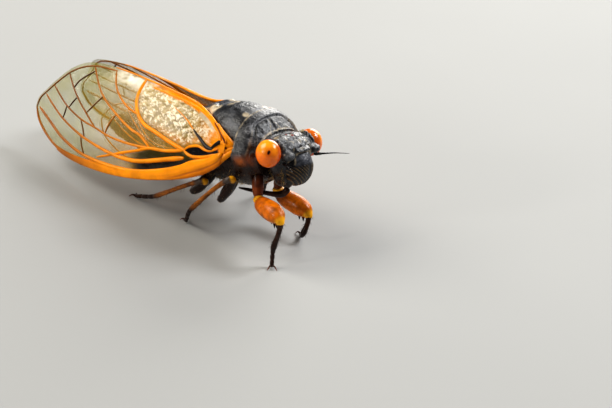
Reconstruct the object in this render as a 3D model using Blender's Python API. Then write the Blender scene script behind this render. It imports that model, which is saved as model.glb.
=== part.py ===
"""Life-size periodical cicada at rest: a still model with its wings folded like a roof.

Sizes are in millimetres and the finished meshes are scaled to metres.
Body frame: X forward with 0 at the front of the crown, Y to the insect's left, Z up from eye level.
The body frame is pitched nose-up and set over the floor, which is world Z = 0.
"""

import math

import bmesh
import bpy
from mathutils import Matrix, Vector
from mathutils.geometry import delaunay_2d_cdt, interpolate_bezier

MM = 0.001
GAP = 0.3

# Stance
BODY_PITCH = math.radians(10.0)
BODY_LIFT = 11.2
FOOT_FRAME_X = 17.3
CENTRE = (-0.65, -0.5)
HEAD_TURN = (
    Matrix.Translation((-3.35, 0, -0.5))
    @ Matrix.Rotation(math.radians(2.5), 4, "Z")
    @ Matrix.Rotation(math.radians(-4.6), 4, "X")
    @ Matrix.Translation((3.0, 0, 0.5))
)

# Main body sizes
PROTHORAX_FRONT = -3.95
EYE_BASE = 2.75
EYE_CENTRE = Vector((-2.0, 3.5, 0.05))
EYE_RADII = Vector((1.3, 1.25, 1.42))
PROTHORAX_END = -6.1
MESOTHORAX_END = -13.4
ABDOMEN_END = -26.0
TAIL_END = -27.8
SEGMENTS = 7

# Forewing and hindwing sizes
WING_ROOT_X = -6.7
WING_THICK = 0.5
RIDGE_Y = -0.4
HINDWING_DROP = 1.05

TO_FLOOR = Matrix.Translation((FOOT_FRAME_X, 0, BODY_LIFT)) @ Matrix.Rotation(-BODY_PITCH, 4, "Y")
HEAD_PLACE = TO_FLOOR @ HEAD_TURN
SIDES = {"right": -1, "left": 1}


def hermite(a, b, slope_a, slope_b, t):
    """Cubic between a and b."""
    return (
        a * (2 * t**3 - 3 * t**2 + 1)
        + slope_a * (t**3 - 2 * t**2 + t)
        + b * (3 * t**2 - 2 * t**3)
        + slope_b * (t**3 - t**2)
    )


def along(rows, key):
    """Smoothly reads a table of (key, value, value, ...) rows, held past its ends."""
    keys = [row[0] for row in rows]
    if key <= keys[0]:
        return rows[0][1:]
    if key >= keys[-1]:
        return rows[-1][1:]
    i = max(k for k in range(len(keys) - 1) if keys[k] <= key)
    span = keys[i + 1] - keys[i]
    found = []
    for column in range(1, len(rows[0])):
        value = [row[column] for row in rows]

        def slope(k):
            if k in (0, len(rows) - 1):
                other = 1 if k == 0 else k - 1
                return (value[other] - value[k]) / (keys[other] - keys[k])
            return (value[k + 1] - value[k - 1]) / (keys[k + 1] - keys[k - 1])

        t = (key - keys[i]) / span
        found.append(hermite(value[i], value[i + 1], slope(i) * span, slope(i + 1) * span, t))
    return found


def smooth_line(points, step):
    """Points about step apart on a smooth curve through the given ones."""
    points = [Vector(p) for p in points]
    if len(points) == 2:
        points.insert(1, (points[0] + points[1]) / 2)
    found = []
    for i in range(len(points) - 1):
        before = points[max(i - 1, 0)]
        after = points[min(i + 2, len(points) - 1)]
        a, b = points[i], points[i + 1]
        count = max(1, round((b - a).length / step))
        for k in range(count):
            found.append(hermite(a, b, (b - before) / 2, (after - a) / 2, k / count))
    return found + [points[-1]]


def bump(distance, width):
    """A smooth hill, 1 at distance 0 and 0 from width on."""
    t = min(abs(distance) / width, 1.0)
    return (1 - t * t) ** 2


def new_object(name, mesh):
    found = bpy.data.objects.new(name, mesh)
    bpy.context.scene.collection.objects.link(found)
    return found


def mesh_of(bm, name="piece"):
    mesh = bpy.data.meshes.new(name)
    bm.normal_update()
    bm.to_mesh(mesh)
    bm.free()
    return mesh


def loft(rings):
    """A closed mesh through rings of equally many points, with flat ends."""
    bm = bmesh.new()
    rows = [[bm.verts.new(p) for p in ring] for ring in rings]
    count = len(rows[0])
    for a, b in zip(rows, rows[1:]):
        for k in range(count):
            bm.faces.new((a[k], a[(k + 1) % count], b[(k + 1) % count], b[k]))
    bm.faces.new(rows[0])
    bm.faces.new(list(reversed(rows[-1])))
    bmesh.ops.recalc_face_normals(bm, faces=bm.faces)
    return mesh_of(bm)


def trim(bm, point, normal):
    """Cuts a closed mesh flat and drops what lies on the normal's side."""
    geom = bm.verts[:] + bm.edges[:] + bm.faces[:]
    cut = bmesh.ops.bisect_plane(bm, geom=geom, plane_co=point, plane_no=normal, clear_outer=True)
    bmesh.ops.holes_fill(bm, edges=[e for e in cut["geom_cut"] if isinstance(e, bmesh.types.BMEdge)])


def ellipsoid(centre, radii, around=20, rows=12, turn=None, cuts=(), shape=None):
    """A UV ellipsoid with its poles on Z, trimmed flat at each (point, outward normal) cut."""
    bm = bmesh.new()
    bmesh.ops.create_uvsphere(bm, u_segments=around, v_segments=rows, radius=1.0)
    if shape:
        for v in bm.verts:
            v.co *= shape(v.co)
    place = Matrix.Translation(centre) @ (turn or Matrix()) @ Matrix.Diagonal((*radii, 1))
    bmesh.ops.transform(bm, matrix=place, verts=bm.verts)
    for point, normal in cuts:
        trim(bm, point, normal)
    bmesh.ops.recalc_face_normals(bm, faces=bm.faces)
    return mesh_of(bm)


def tube(points, radii, sides=8, ends=(None, None), flatten=1.0):
    """A swept tube. Each end may lie in a plane given by its normal, as where two limbs meet at a mitre."""
    points = [Vector(p) for p in points]
    directions = []
    for i, p in enumerate(points):
        ahead = points[min(i + 1, len(points) - 1)]
        behind = points[max(i - 1, 0)]
        directions.append((ahead - behind).normalized())
    first = directions[0]
    across = first.cross(Vector((0, 0, 1)))
    if across.length < 0.1:
        across = first.cross(Vector((0, 1, 0)))
    across.normalize()
    rings = []
    for i, (p, d) in enumerate(zip(points, directions)):
        across = (across - d * across.dot(d)).normalized()
        up = across.cross(d)
        plane = ends[0] if i == 0 else ends[1] if i == len(points) - 1 else None
        ring = []
        for k in range(sides):
            angle = 2 * math.pi * k / sides
            q = across * math.cos(angle) * radii[i] * flatten + up * math.sin(angle) * radii[i]
            if plane is not None:
                q -= d * (q.dot(plane) / d.dot(plane))
            ring.append(p + q)
        rings.append(ring)
    return loft(rings)


def fuse(pieces, solver="EXACT"):
    """One closed mesh from overlapping closed ones. Only the largest closed surface is kept."""
    group = bpy.data.collections.new("pieces")
    bpy.context.scene.collection.children.link(group)
    base = new_object("base", pieces[0])
    for piece in pieces[1:]:
        group.objects.link(bpy.data.objects.new("piece", piece))
    join = base.modifiers.new("join", "BOOLEAN")
    join.operation = "UNION"
    join.operand_type = "COLLECTION"
    join.collection = group
    join.solver = solver
    bpy.context.view_layer.update()
    graph = bpy.context.evaluated_depsgraph_get()
    mesh = bpy.data.meshes.new_from_object(base.evaluated_get(graph))
    for helper in list(group.objects) + [base]:
        bpy.data.objects.remove(helper)
    bpy.data.collections.remove(group)
    bm = bmesh.new()
    bm.from_mesh(mesh)
    keep_largest(bm)
    return mesh_of(bm)


def keep_largest(bm):
    """Deletes every closed surface but the one with the most faces."""
    unseen = set(bm.verts)
    islands = []
    while unseen:
        stack = [unseen.pop()]
        island = set(stack)
        while stack:
            for edge in stack.pop().link_edges:
                for v in edge.verts:
                    if v in unseen:
                        unseen.discard(v)
                        island.add(v)
                        stack.append(v)
        islands.append(island)
    islands.sort(key=len)
    for island in islands[:-1]:
        bmesh.ops.delete(bm, geom=list(island), context="VERTS")


def material(name, colour, roughness, metallic=0.0):
    found = bpy.data.materials.get(name) or bpy.data.materials.new(name)
    found.use_nodes = True
    shader = found.node_tree.nodes["Principled BSDF"]
    shader.inputs["Base Color"].default_value = (*colour, 1)
    shader.inputs["Roughness"].default_value = roughness
    shader.inputs["Metallic"].default_value = metallic
    return found


def black_shell():
    return material("black_shell", (0.025, 0.025, 0.028), 0.35)


def brown_shell():
    return material("brown_shell", (0.10, 0.035, 0.018), 0.45)


def orange_leg():
    return material("orange_leg", (0.62, 0.20, 0.03), 0.4)


def dark_leg():
    return material("dark_leg", (0.09, 0.03, 0.018), 0.4)


def eye_orange():
    return material("eye_orange", (0.85, 0.22, 0.02), 0.15)


def wing_orange():
    return material("wing_orange", (0.85, 0.35, 0.05), 0.3)


def finish(name, mesh, paint, turn=TO_FLOOR, sharp=40):
    """Names a finished mesh as a node, in metres in the world."""
    mesh.transform(Matrix.Scale(MM, 4) @ Matrix.Translation((*CENTRE, 0)) @ turn)
    mesh.shade_smooth()
    mesh.set_sharp_from_angle(angle=math.radians(sharp))
    mesh.materials.clear()
    mesh.materials.append(paint)
    mesh.name = name
    return new_object(name, mesh)


# Trunk: rows of x, half width, top, bottom
TRUNK = [
    (-28.0, 0.30, -1.30, -1.90),
    (-27.0, 0.90, -0.80, -2.30),
    (-25.5, 1.55, -0.20, -2.80),
    (-23.5, 2.15, 0.40, -3.25),
    (-21.0, 2.65, 1.00, -3.75),
    (-18.0, 3.00, 1.50, -4.15),
    (-15.5, 3.25, 1.90, -4.40),
    (-13.4, 3.45, 2.40, -4.55),
    (-11.5, 3.58, 3.15, -4.65),
    (-9.0, 3.92, 3.60, -4.65),
    (-7.0, 4.15, 3.40, -4.40),
    (-6.0, 4.20, 3.05, -4.15),
    (-4.8, 4.00, 2.40, -3.70),
    (-3.9, 3.22, 1.42, -3.05),
]
WIDEST_SHARE = 0.48
SQUARENESS = 0.86


def trunk_point(x, angle, grow=0.0):
    """A point of the trunk's skin. Angle 0 is the left side and 90 degrees the back."""
    half, top, bottom = along(TRUNK, x)
    middle = bottom + (top - bottom) * WIDEST_SHARE
    c, s = math.cos(angle), math.sin(angle)
    y = half * math.copysign(abs(c) ** SQUARENESS, c)
    reach = top - middle if s > 0 else middle - bottom
    z = middle + reach * math.copysign(abs(s) ** SQUARENESS, s)
    out = Vector((0, y, z - middle)).normalized() * grow
    return Vector((x, y + out.y, z + out.z))


def trunk_ring(x, count, grow=0.0, shape=None):
    """A ring of the trunk, which shape may lift or sink at each point."""
    ring = []
    for k in range(count):
        angle = 2 * math.pi * (k + 0.5) / count
        more = shape(trunk_point(x, angle)) if shape else 0.0
        ring.append(trunk_point(x, angle, grow + more))
    return ring


def spread(start, end, count):
    return [start + (end - start) * k / (count - 1) for k in range(count)]


CLYPEUS_RIBS = 24
RIB_HEIGHT = 0.035
RIB_FROM, RIB_TO = math.radians(-100), math.radians(38)


def clypeus_shape(p):
    """Cross ribs on both sides of the smooth middle line of the bulging face. The poles are its two sides."""
    angle = math.atan2(p.y, p.x)
    if not RIB_FROM < angle < RIB_TO:
        return 1.0
    side = min(max((abs(p.z) - 0.1) / 0.15, 0.0), 1.0)
    return 1 + RIB_HEIGHT * side * math.cos(angle * CLYPEUS_RIBS)


def make_head():
    flats = [((0, EYE_BASE, 0), (0, 1, 0)), ((0, -EYE_BASE, 0), (0, -1, 0))]
    across = Matrix.Rotation(math.radians(90), 4, "X")
    pieces = [
        ellipsoid((-2.3, 0, -0.22), (2.05, 3.9, 1.62), 26, 14, cuts=flats),
        ellipsoid((-2.1, 0, -1.75), (1.35, 2.55, 1.85), 20, 12),
        ellipsoid((-1.35, 0, -1.75), (1.9, 2.1, 1.75), CLYPEUS_RIBS * 2, 14, across, shape=clypeus_shape),
        ellipsoid((-1.95, 0, -3.85), (0.75, 0.75, 0.95), 12, 8),
        ellipsoid((-1.7, 0, 1.22), (0.22, 0.22, 0.22), 8, 6),
    ]
    for side in SIDES.values():
        pieces.append(ellipsoid((-0.9, 1.85 * side, -0.35), (0.5, 0.8, 0.32), 12, 8))
        pieces.append(ellipsoid((-2.15, 0.42 * side, 1.24), (0.2, 0.2, 0.2), 8, 6))
        pieces.append(ellipsoid((-1.95, 1.52 * side, -2.55), (0.8, 0.75, 1.2), 12, 8))
    bm = bmesh.new()
    bm.from_mesh(fuse(pieces))
    unturn = HEAD_TURN.inverted()
    trim(bm, unturn @ Vector((PROTHORAX_FRONT + GAP, 0, 0)), unturn.to_3x3() @ Vector((-1, 0, 0)))
    finish("head", mesh_of(bm), black_shell(), HEAD_PLACE)


def make_eyes():
    for name, side in SIDES.items():
        centre = Vector((EYE_CENTRE.x, EYE_CENTRE.y * side, EYE_CENTRE.z))
        base = ((0, (EYE_BASE + GAP) * side, 0), (0, -side, 0))
        finish(f"eye_{name}", ellipsoid(centre, EYE_RADII, 24, 14, cuts=[base]), eye_orange(), HEAD_PLACE, 60)


ANTENNA = [(-0.7, 2.6, -1.0), (0.05, 3.2, -0.95), (0.95, 3.9, -0.9), (2.0, 4.7, -0.95)]
ANTENNA_RADII = [0.26, 0.25, 0.16, 0.06]


def make_antennae():
    for name, side in SIDES.items():
        line = [Vector((x, y * side, z)) for x, y, z in ANTENNA]
        finish(f"antenna_{name}", tube(line, ANTENNA_RADII, 8), black_shell(), HEAD_PLACE)


ROSTRUM = [(-2.6, 0, -4.95), (-3.6, 0, -5.35), (-5.5, 0, -5.6), (-8.6, 0, -5.75)]
ROSTRUM_RADII = [0.42, 0.42, 0.36, 0.15]


def make_rostrum():
    finish("rostrum", tube(ROSTRUM, ROSTRUM_RADII, 8), brown_shell(), HEAD_PLACE)


COLLAR_LENGTH = 0.9
COLLAR_RISE = 0.16
PRONOTUM_RINGS = 13
PRONOTUM_AROUND = 40
PRONOTUM_EDGE = -0.7


def pronotum_shape(p):
    """The collar, the side shelf over the pleura, and the middle and slanting grooves."""
    rise = COLLAR_RISE if p.x < PROTHORAX_END + COLLAR_LENGTH else 0.0
    rise += 0.28 * bump(p.z - PRONOTUM_EDGE - 0.3, 1.0)
    if p.z > 0:
        share = (p.x - PROTHORAX_END) / (PROTHORAX_FRONT - PROTHORAX_END)
        rise -= 0.12 * bump(p.y, 0.35)
        rise -= 0.16 * bump(abs(p.y) - (0.9 + 2.3 * share), 0.5) * (rise < 0.15)
    return rise


def make_prothorax():
    places = spread(PROTHORAX_END + GAP / 2, PROTHORAX_FRONT, PRONOTUM_RINGS)
    edge = PROTHORAX_END + COLLAR_LENGTH
    places = sorted(places + [edge - 0.05, edge + 0.05])
    rings = [trunk_ring(x, PRONOTUM_AROUND, 0.1, pronotum_shape) for x in places]
    finish("prothorax", loft(rings), black_shell())


CROSS_CENTRE = (-12.35, 0.0)
CROSS_ARMS = [(-11.1, 1.3), (-13.1, 1.1)]
CROSS_RISE = 0.38
PARAPSIDAL = [(-6.4, 1.1), (-9.0, 1.5), (-10.6, 0.9)]


def near_line(x, y, line):
    return distance_to_line(Vector((x, y)), [Vector(p) for p in line])


# The mesonotum's raised shield between the folded wings: rows of x, half width
SHIELD = [(-13.4, 0.95), (-12.5, 1.1), (-11.6, 1.5), (-10.5, 2.2), (-9.0, 3.0), (-7.5, 3.7), (-6.2, 4.3)]
SHIELD_STEP = 0.85
SHIELD_SLOPE = 0.6


def mesonotum_shape(p):
    """The raised shield with its cross near the hind edge and the sunk scutal lines ahead of it."""
    if p.z < 0:
        return 0.0
    rise = -0.12 * bump(near_line(p.x, abs(p.y), PARAPSIDAL), 0.5)
    for arm in CROSS_ARMS:
        rise = max(rise, CROSS_RISE * bump(near_line(p.x, abs(p.y), [CROSS_CENTRE, arm]), 0.75))
    beyond = min(max((abs(p.y) - along(SHIELD, p.x)[0]) / SHIELD_SLOPE, 0.0), 1.0)
    return rise * (1 - beyond) - SHIELD_STEP * beyond * min(p.z, 1.0)


def make_mesothorax():
    front, back = PROTHORAX_END - GAP / 2, MESOTHORAX_END + GAP / 2
    places = spread(front, -10.6, 9) + spread(-11.0, back, 7)
    finish("mesothorax", loft([trunk_ring(x, 56, 0.0, mesonotum_shape) for x in places]), black_shell())


RING_FLARE = 0.16


def make_abdomen():
    """Each ring flares towards its hind edge, then steps in."""
    start, end = MESOTHORAX_END - GAP / 2, ABDOMEN_END + GAP / 2
    length = (start - end) / SEGMENTS
    rings = []
    for k in range(SEGMENTS):
        front = start - k * length
        rings += [trunk_ring(front - share * length, 26, RING_FLARE * share) for share in (0.0, 0.55, 0.97)]
    rings.append(trunk_ring(end, 26))
    finish("abdomen", loft(rings), black_shell())


def make_tail():
    places = [ABDOMEN_END - GAP / 2, -26.6, -27.3, TAIL_END]
    finish("tail_tip", loft([trunk_ring(x, 16) for x in places]), brown_shell())


# Folded wing sheet: rows of distance from the root, y, z of its low front edge and of its ridge at the back
FRONT_LINE = [
    (0.0, -4.75, -0.95),
    (1.0, -5.05, -1.65),
    (3.0, -5.45, -2.75),
    (7.0, -6.00, -3.85),
    (13.0, -6.30, -4.65),
    (19.0, -6.05, -4.72),
    (23.0, -5.35, -4.50),
    (26.0, -4.50, -4.15),
    (30.0, -3.20, -3.50),
]
BACK_LINE = [
    (0.0, -4.50, 1.35),
    (1.2, -3.85, 1.95),
    (2.7, -3.00, 2.45),
    (4.1, -2.25, 2.78),
    (5.4, -1.50, 2.92),
    (6.6, -0.80, 3.00),
    (8.2, RIDGE_Y, 3.32),
    (10.0, RIDGE_Y, 3.70),
    (13.0, RIDGE_Y, 4.30),
    (17.0, RIDGE_Y, 4.95),
    (20.0, RIDGE_Y, 5.25),
    (24.0, RIDGE_Y, 5.20),
    (30.0, RIDGE_Y, 4.60),
]
SHEET_BULGE = 1.05


def sheet_width(u):
    """The sheet's breadth round its bulge, from the front line to the back line."""
    return SHEET_BULGE * (Vector(along(BACK_LINE, u)) - Vector(along(FRONT_LINE, u))).length


def arc_of(ratio):
    """The angle of a circular arc whose chord is this share of its length."""
    angle = math.sqrt(24 * (1 - ratio))
    for _ in range(6):
        half = angle / 2
        slope = (math.cos(half) * half - math.sin(half)) / (2 * half * half)
        angle -= (math.sin(half) / half - ratio) / slope
    return angle


SHEET_BEND = arc_of(1 / SHEET_BULGE)


def sheet_point(u, v):
    """A point of the right wing's sheet: u mm from the root, v mm from its front edge."""
    front = Vector(along(FRONT_LINE, u))
    back = Vector(along(BACK_LINE, u))
    chord = back - front
    radius = chord.length / (2 * math.sin(SHEET_BEND / 2))
    angle = math.atan2(chord.y, chord.x) + SHEET_BEND / 2
    turned = v / radius
    y = front.x + radius * (math.sin(angle) - math.sin(angle - turned))
    z = front.y - radius * (math.cos(angle) - math.cos(angle - turned))
    return Vector((WING_ROOT_X - u, y, z))


def sheet_normal(u, v):
    """The sheet's outward direction there."""
    step = 0.05
    du = sheet_point(u + step, v) - sheet_point(u - step, v)
    dv = sheet_point(u, v + step) - sheet_point(u, v - step)
    return dv.cross(du).normalized()


FOREWING_FRONT = [
    (0.0, 0.5), (0.4, 0.1), (1.2, 0.0), (4.0, 0.0), (8.0, 0.0), (12.0, 0.0), (16.0, 0.0), (20.0, 0.05),
    (23.0, 0.1), (25.4, 0.35), (27.3, 0.95), (28.7, 2.0), (29.3, 3.3), (28.9, 4.5), (27.6, 6.1),
    (26.3, 7.8), (25.0, 9.5), (23.3, 10.9), (21.0, 11.55), (18.5, 11.65),
]
HIND_STATIONS = (16.0, 13.0, 10.0, 8.2, 6.6, 5.4, 4.1, 2.7, 1.2, 0.3)
RIDGE_INSET = 0.2


def hind_margin(u, inset=0.0):
    """The wing's hind margin, which lies along the shield and then the ridge."""
    return sheet_width(u) - RIDGE_INSET * min(u / 8, 1.0) - inset


FOREWING_EDGE = FOREWING_FRONT + [(u, hind_margin(u)) for u in HIND_STATIONS] + [(0.0, 2.2)]
HIND_VEIN = [(u, hind_margin(u, 0.75)) for u in (0.7, 1.6, 2.8, 4.2, 5.6, 7.4, 10.2, 14.6)]
# Forewing veins: half width, rise, line
FOREWING_VEINS = {
    "costa": (0.36, 0.24, [(0.8, 0.5), (4.0, 0.5), (8.0, 0.5), (12.0, 0.5), (16.0, 0.52), (19.5, 0.55)]),
    "radius": (
        0.34,
        0.2,
        [(1.4, 1.4), (2.6, 1.55), (4.4, 1.6), (6.4, 1.4), (9.0, 1.3), (12.0, 1.3), (16.5, 1.35)],
    ),
    "front_tip": (0.3, 0.14, [(19.5, 0.55), (23.0, 0.6), (25.4, 0.9), (27.1, 1.5), (28.2, 2.5), (28.2, 3.6)]),
    "ambient": (0.24, 0.12, [(28.2, 3.6), (27.1, 5.2), (25.6, 7.2), (24.3, 8.9), (22.6, 10.3), (20.6, 10.9)]),
    "hind": (0.26, 0.14, HIND_VEIN),
    "radial": (
        0.26,
        0.14,
        [(5.2, 2.4), (8.6, 2.25), (12.5, 2.2), (16.0, 2.45), (20.0, 3.2), (24.0, 4.0), (27.3, 4.9)],
    ),
    "medial": (0.24, 0.12, [(5.5, 3.0), (8.0, 3.15), (10.2, 3.3), (13.0, 3.5), (16.0, 3.95), (18.2, 4.5)]),
    "medial_up": (0.24, 0.12, [(18.2, 4.5), (20.6, 4.9), (23.4, 5.5), (26.0, 6.6)]),
    "medial_low": (0.24, 0.12, [(18.2, 4.5), (20.0, 5.7), (22.2, 7.0), (24.4, 8.7)]),
    "cubital": (
        0.26,
        0.14,
        [(5.5, 3.0), (7.8, 4.0), (10.1, 5.1), (11.7, 5.8), (12.9, 6.8), (13.8, 8.3), (14.4, 10.6)],
    ),
    "cubital_out": (0.24, 0.12, [(10.2, 3.3), (12.2, 4.8), (15.5, 6.3), (18.6, 8.1), (21.6, 10.6)]),
    "basal_top": (
        0.26,
        0.16,
        [(0.9, 1.7), (1.9, 2.15), (3.3, 2.95), (4.7, 3.25), (5.5, 3.0), (5.2, 2.2), (4.7, 1.8)],
    ),
    "claval": (0.24, 0.12, [(2.0, 2.4), (3.7, 4.0), (6.0, 5.9), (8.4, 7.6), (11.0, 9.1), (13.3, 10.3)]),
    "cross_radial": (0.22, 0.10, [(19.6, 3.2), (20.0, 4.0), (20.6, 4.8)]),
    "cross_outer": (0.22, 0.10, [(23.6, 4.1), (23.5, 4.8), (23.4, 5.4)]),
    "cross_middle": (0.22, 0.10, [(16.6, 4.2), (16.3, 5.3), (15.8, 6.3)]),
    "cross_hind": (0.22, 0.10, [(18.5, 7.9), (19.2, 6.8), (20.0, 5.8)]),
    "cross_tip": (0.22, 0.10, [(22.2, 6.9), (22.6, 6.2), (23.2, 5.5)]),
}
HINDWING_EDGE = [
    (3.5, 1.9), (5.5, 1.45), (8.0, 1.3), (11.0, 1.3), (14.0, 1.7), (16.8, 2.8), (18.6, 4.6), (18.8, 6.3),
    (17.6, 7.9), (15.8, 8.6), (14.2, 7.9), (12.8, 6.0), (10.8, 4.4), (8.0, 3.7), (5.5, 3.3), (3.6, 2.9),
]
HINDWING_VEINS = {
    "front": (0.26, 0.08, [(3.8, 2.3), (6.0, 1.95), (9.0, 1.8), (12.0, 1.95), (15.0, 2.8), (17.4, 4.4)]),
    "middle": (0.24, 0.08, [(3.9, 2.5), (8.0, 2.75), (12.0, 3.7), (15.0, 5.0), (17.8, 6.6)]),
    "back": (0.24, 0.08, [(8.0, 2.85), (11.0, 3.9), (13.6, 5.9), (15.7, 7.8)]),
}
EDGE_STEP = 1.4
VEIN_STEP = 2.2


def distance_to_line(p, line):
    best = 1e9
    for a, b in zip(line, line[1:]):
        side = b - a
        t = min(max((p - a).dot(side) / side.length_squared, 0.0), 1.0)
        best = min(best, (p - a - side * t).length)
    return best


def vein_strips(veins):
    """The two borders and the middle of every vein, as points and edges of the wing's plan."""
    points, edges = [], []
    for half, _, line in veins.values():
        middle = smooth_line(line, VEIN_STEP)
        for offset in (-half, 0.0, half):
            start = len(points)
            for i, p in enumerate(middle):
                run = middle[min(i + 1, len(middle) - 1)] - middle[max(i - 1, 0)]
                normal = Vector((-run.y, run.x)).normalized()
                points.append(p + normal * offset)
            edges += [(k, k + 1) for k in range(start, len(points) - 1)]
    return points, edges


def wing_plate(edge, veins, drop):
    """A curved closed plate of the edge's outline, with veins raised in both of its faces."""
    points = smooth_line([*edge, edge[0]], EDGE_STEP)[:-1]
    rim = list(range(len(points)))
    more, edges = vein_strips(veins)
    edges = [(a + len(rim), b + len(rim)) for a, b in edges]
    flat, _, faces, *_ = delaunay_2d_cdt(points + more, edges, [rim], 1, 1e-3)
    lines = [(half, rise, smooth_line(line, VEIN_STEP)) for half, rise, line in veins.values()]
    bm = bmesh.new()
    upper, lower = [], []
    for p in flat:
        rise = max(rise * bump(distance_to_line(p, line), half) for half, rise, line in lines)
        out = sheet_normal(p.x, p.y)
        middle = sheet_point(p.x, p.y) - out * drop
        upper.append(bm.verts.new(middle + out * (WING_THICK / 2 + rise)))
        lower.append(bm.verts.new(middle - out * (WING_THICK / 2 + rise)))
    sides = set()
    for face in faces:
        bm.faces.new([upper[k] for k in face])
        bm.faces.new([lower[k] for k in reversed(face)])
        sides.update(zip(face, face[1:] + face[:1]))
    for a, b in sides:
        if (b, a) not in sides:
            bm.faces.new((upper[b], upper[a], lower[a], lower[b]))
    bmesh.ops.delete(bm, geom=[v for v in bm.verts if not v.link_faces], context="VERTS")
    bmesh.ops.recalc_face_normals(bm, faces=bm.faces)
    return mesh_of(bm)


def make_wings():
    for name, side in SIDES.items():
        for wing, edge, veins, drop in (
            ("forewing", FOREWING_EDGE, FOREWING_VEINS, 0.0),
            ("hindwing", HINDWING_EDGE, HINDWING_VEINS, HINDWING_DROP),
        ):
            mesh = wing_plate(edge, veins, drop)
            if side > 0:
                mesh.transform(Matrix.Scale(-1, 4, (0, 1, 0)))
                mesh.flip_normals()
            finish(f"{wing}_{name}", mesh, wing_orange(), sharp=25)


# Legs: the hip's place along the trunk and round it, then joints in the body frame or,
# near the floor, in the world
LEGS = {
    "front_right": {
        "root": (-4.4, 226), "hip": (-3.85, -3.3, -4.95), "knee": (0.15, -4.8, -5.95),
        "ankle": (17.95, -4.8, 2.0), "toe": (18.05, -4.9, 0.3),
    },
    "front_left": {
        "root": (-5.3, -62), "hip": (-6.2, 2.4, -6.1), "knee": (-2.3, 2.4, -7.95),
        "ankle": (16.7, 1.5, 1.15), "toe": (15.5, 2.7, 0.3),
    },
    "middle_right": {
        "root": (-8.2, 238), "hip": (-8.9, -3.55, -5.75), "knee": (-5.75, -5.2, -2.5),
        "ankle": (7.1, -5.3, 2.4), "toe": (5.7, -4.3, 0.3),
    },
    "middle_left": {
        "root": (-8.2, -58), "hip": (-8.9, 3.55, -5.75), "knee": (-6.7, 4.9, -3.1),
        "ankle": (7.6, 6.0, 2.3), "toe": (6.6, 6.9, 0.3),
    },
    "hind_right": {
        "root": (-11.6, 238), "hip": (-12.9, -3.35, -5.6), "knee": (-9.9, -4.85, -3.6),
        "ankle": (1.5, -4.8, 1.6), "toe": (-1.6, -4.2, 0.3),
    },
    "hind_left": {
        "root": (-11.6, -58), "hip": (-12.9, 3.35, -5.6), "knee": (-10.3, 5.0, -3.8),
        "ankle": (1.0, 5.9, 1.5), "toe": (-1.9, 6.6, 0.3),
    },
}
FEMUR_RADII = {
    "front": [0.42, 0.66, 0.86, 0.84, 0.64, 0.46],
    "middle": [0.34, 0.46, 0.5, 0.42, 0.3],
    "hind": [0.34, 0.46, 0.5, 0.42, 0.3],
}
TIBIA_RADII = {"front": [0.38, 0.3, 0.3, 0.3], "middle": [0.3, 0.28, 0.28], "hind": [0.3, 0.27, 0.27, 0.28]}
COXA_RADII = [0.58, 0.56, 0.38]
SEAT_GAP = {"front": 0.45, "middle": 0.22, "hind": 0.25}
FEMUR_TEETH = [(0.62, 0.45), (0.76, 0.6), (0.88, 0.45)]
JOINT_TURN = 1.0
TURN_SHARE = 0.36
LIMB_RINGS = 10
LIMB_SIDES = 8
TARSUS_RADII = [0.28, 0.24, 0.25]
PAD_RADIUS = 0.33
CLAW_LENGTH = 0.75


def limb(start, end, first, last, radii):
    """A limb length between two joints. It leaves and meets them square to each joint's own plane."""
    reach = min(JOINT_TURN, TURN_SHARE * (end - start).length)
    start, end = start + first * GAP / 2, end - last * GAP / 2
    line = interpolate_bezier(start, start + first * reach, end - last * reach, end, LIMB_RINGS)
    profile = [(k / (len(radii) - 1), radius) for k, radius in enumerate(radii)]
    done = [0.0]
    for a, b in zip(line, line[1:]):
        done.append(done[-1] + (b - a).length)
    sizes = [along(profile, d / done[-1])[0] for d in done]
    return tube(line, sizes, LIMB_SIDES, ends=(first, last))


def make_foot(ankle, toe, plane):
    """The tarsus with its flat pad on the floor and its two claws."""
    d = (toe - ankle).normalized()
    flat = Vector((d.x, d.y, 0)).normalized()
    side = Vector((-flat.y, flat.x, 0))
    pieces = [limb(ankle, toe + d * GAP / 2, plane, d, TARSUS_RADII)]
    pad = []
    for z, size in ((0.0, 1.0), (0.3, 1.05), (0.56, 0.6)):
        ring = []
        for k in range(10):
            angle = 2 * math.pi * k / 10
            out = Vector((math.cos(angle), math.sin(angle), 0)) * PAD_RADIUS * size
            ring.append(Vector((toe.x, toe.y, z)) + out)
        pad.append(ring)
    pieces.append(loft(pad))
    for turn in (-1, 1):
        out = (flat + side * turn * 0.7).normalized()
        root = Vector((toe.x, toe.y, 0.3)) + out * 0.1
        middle = root + out * CLAW_LENGTH * 0.6 + Vector((0, 0, 0.04))
        tip = root + out * CLAW_LENGTH - Vector((0, 0, 0.14))
        pieces.append(tube([root, middle, tip], [0.2, 0.15, 0.05], 6))
    return fuse(pieces)


def trunk_seat(x, degrees, gap):
    """A point this gap off the trunk's skin, and the skin's outward direction there."""
    angle = math.radians(degrees)
    step = 0.02
    along_x = trunk_point(x + step, angle) - trunk_point(x - step, angle)
    round_it = trunk_point(x, angle + step) - trunk_point(x, angle - step)
    out = round_it.cross(along_x).normalized()
    point = trunk_point(x, angle)
    middle = Vector((x, 0, -1))
    if out.dot(point - middle) < 0:
        out = -out
    return point + out * gap, out


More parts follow.
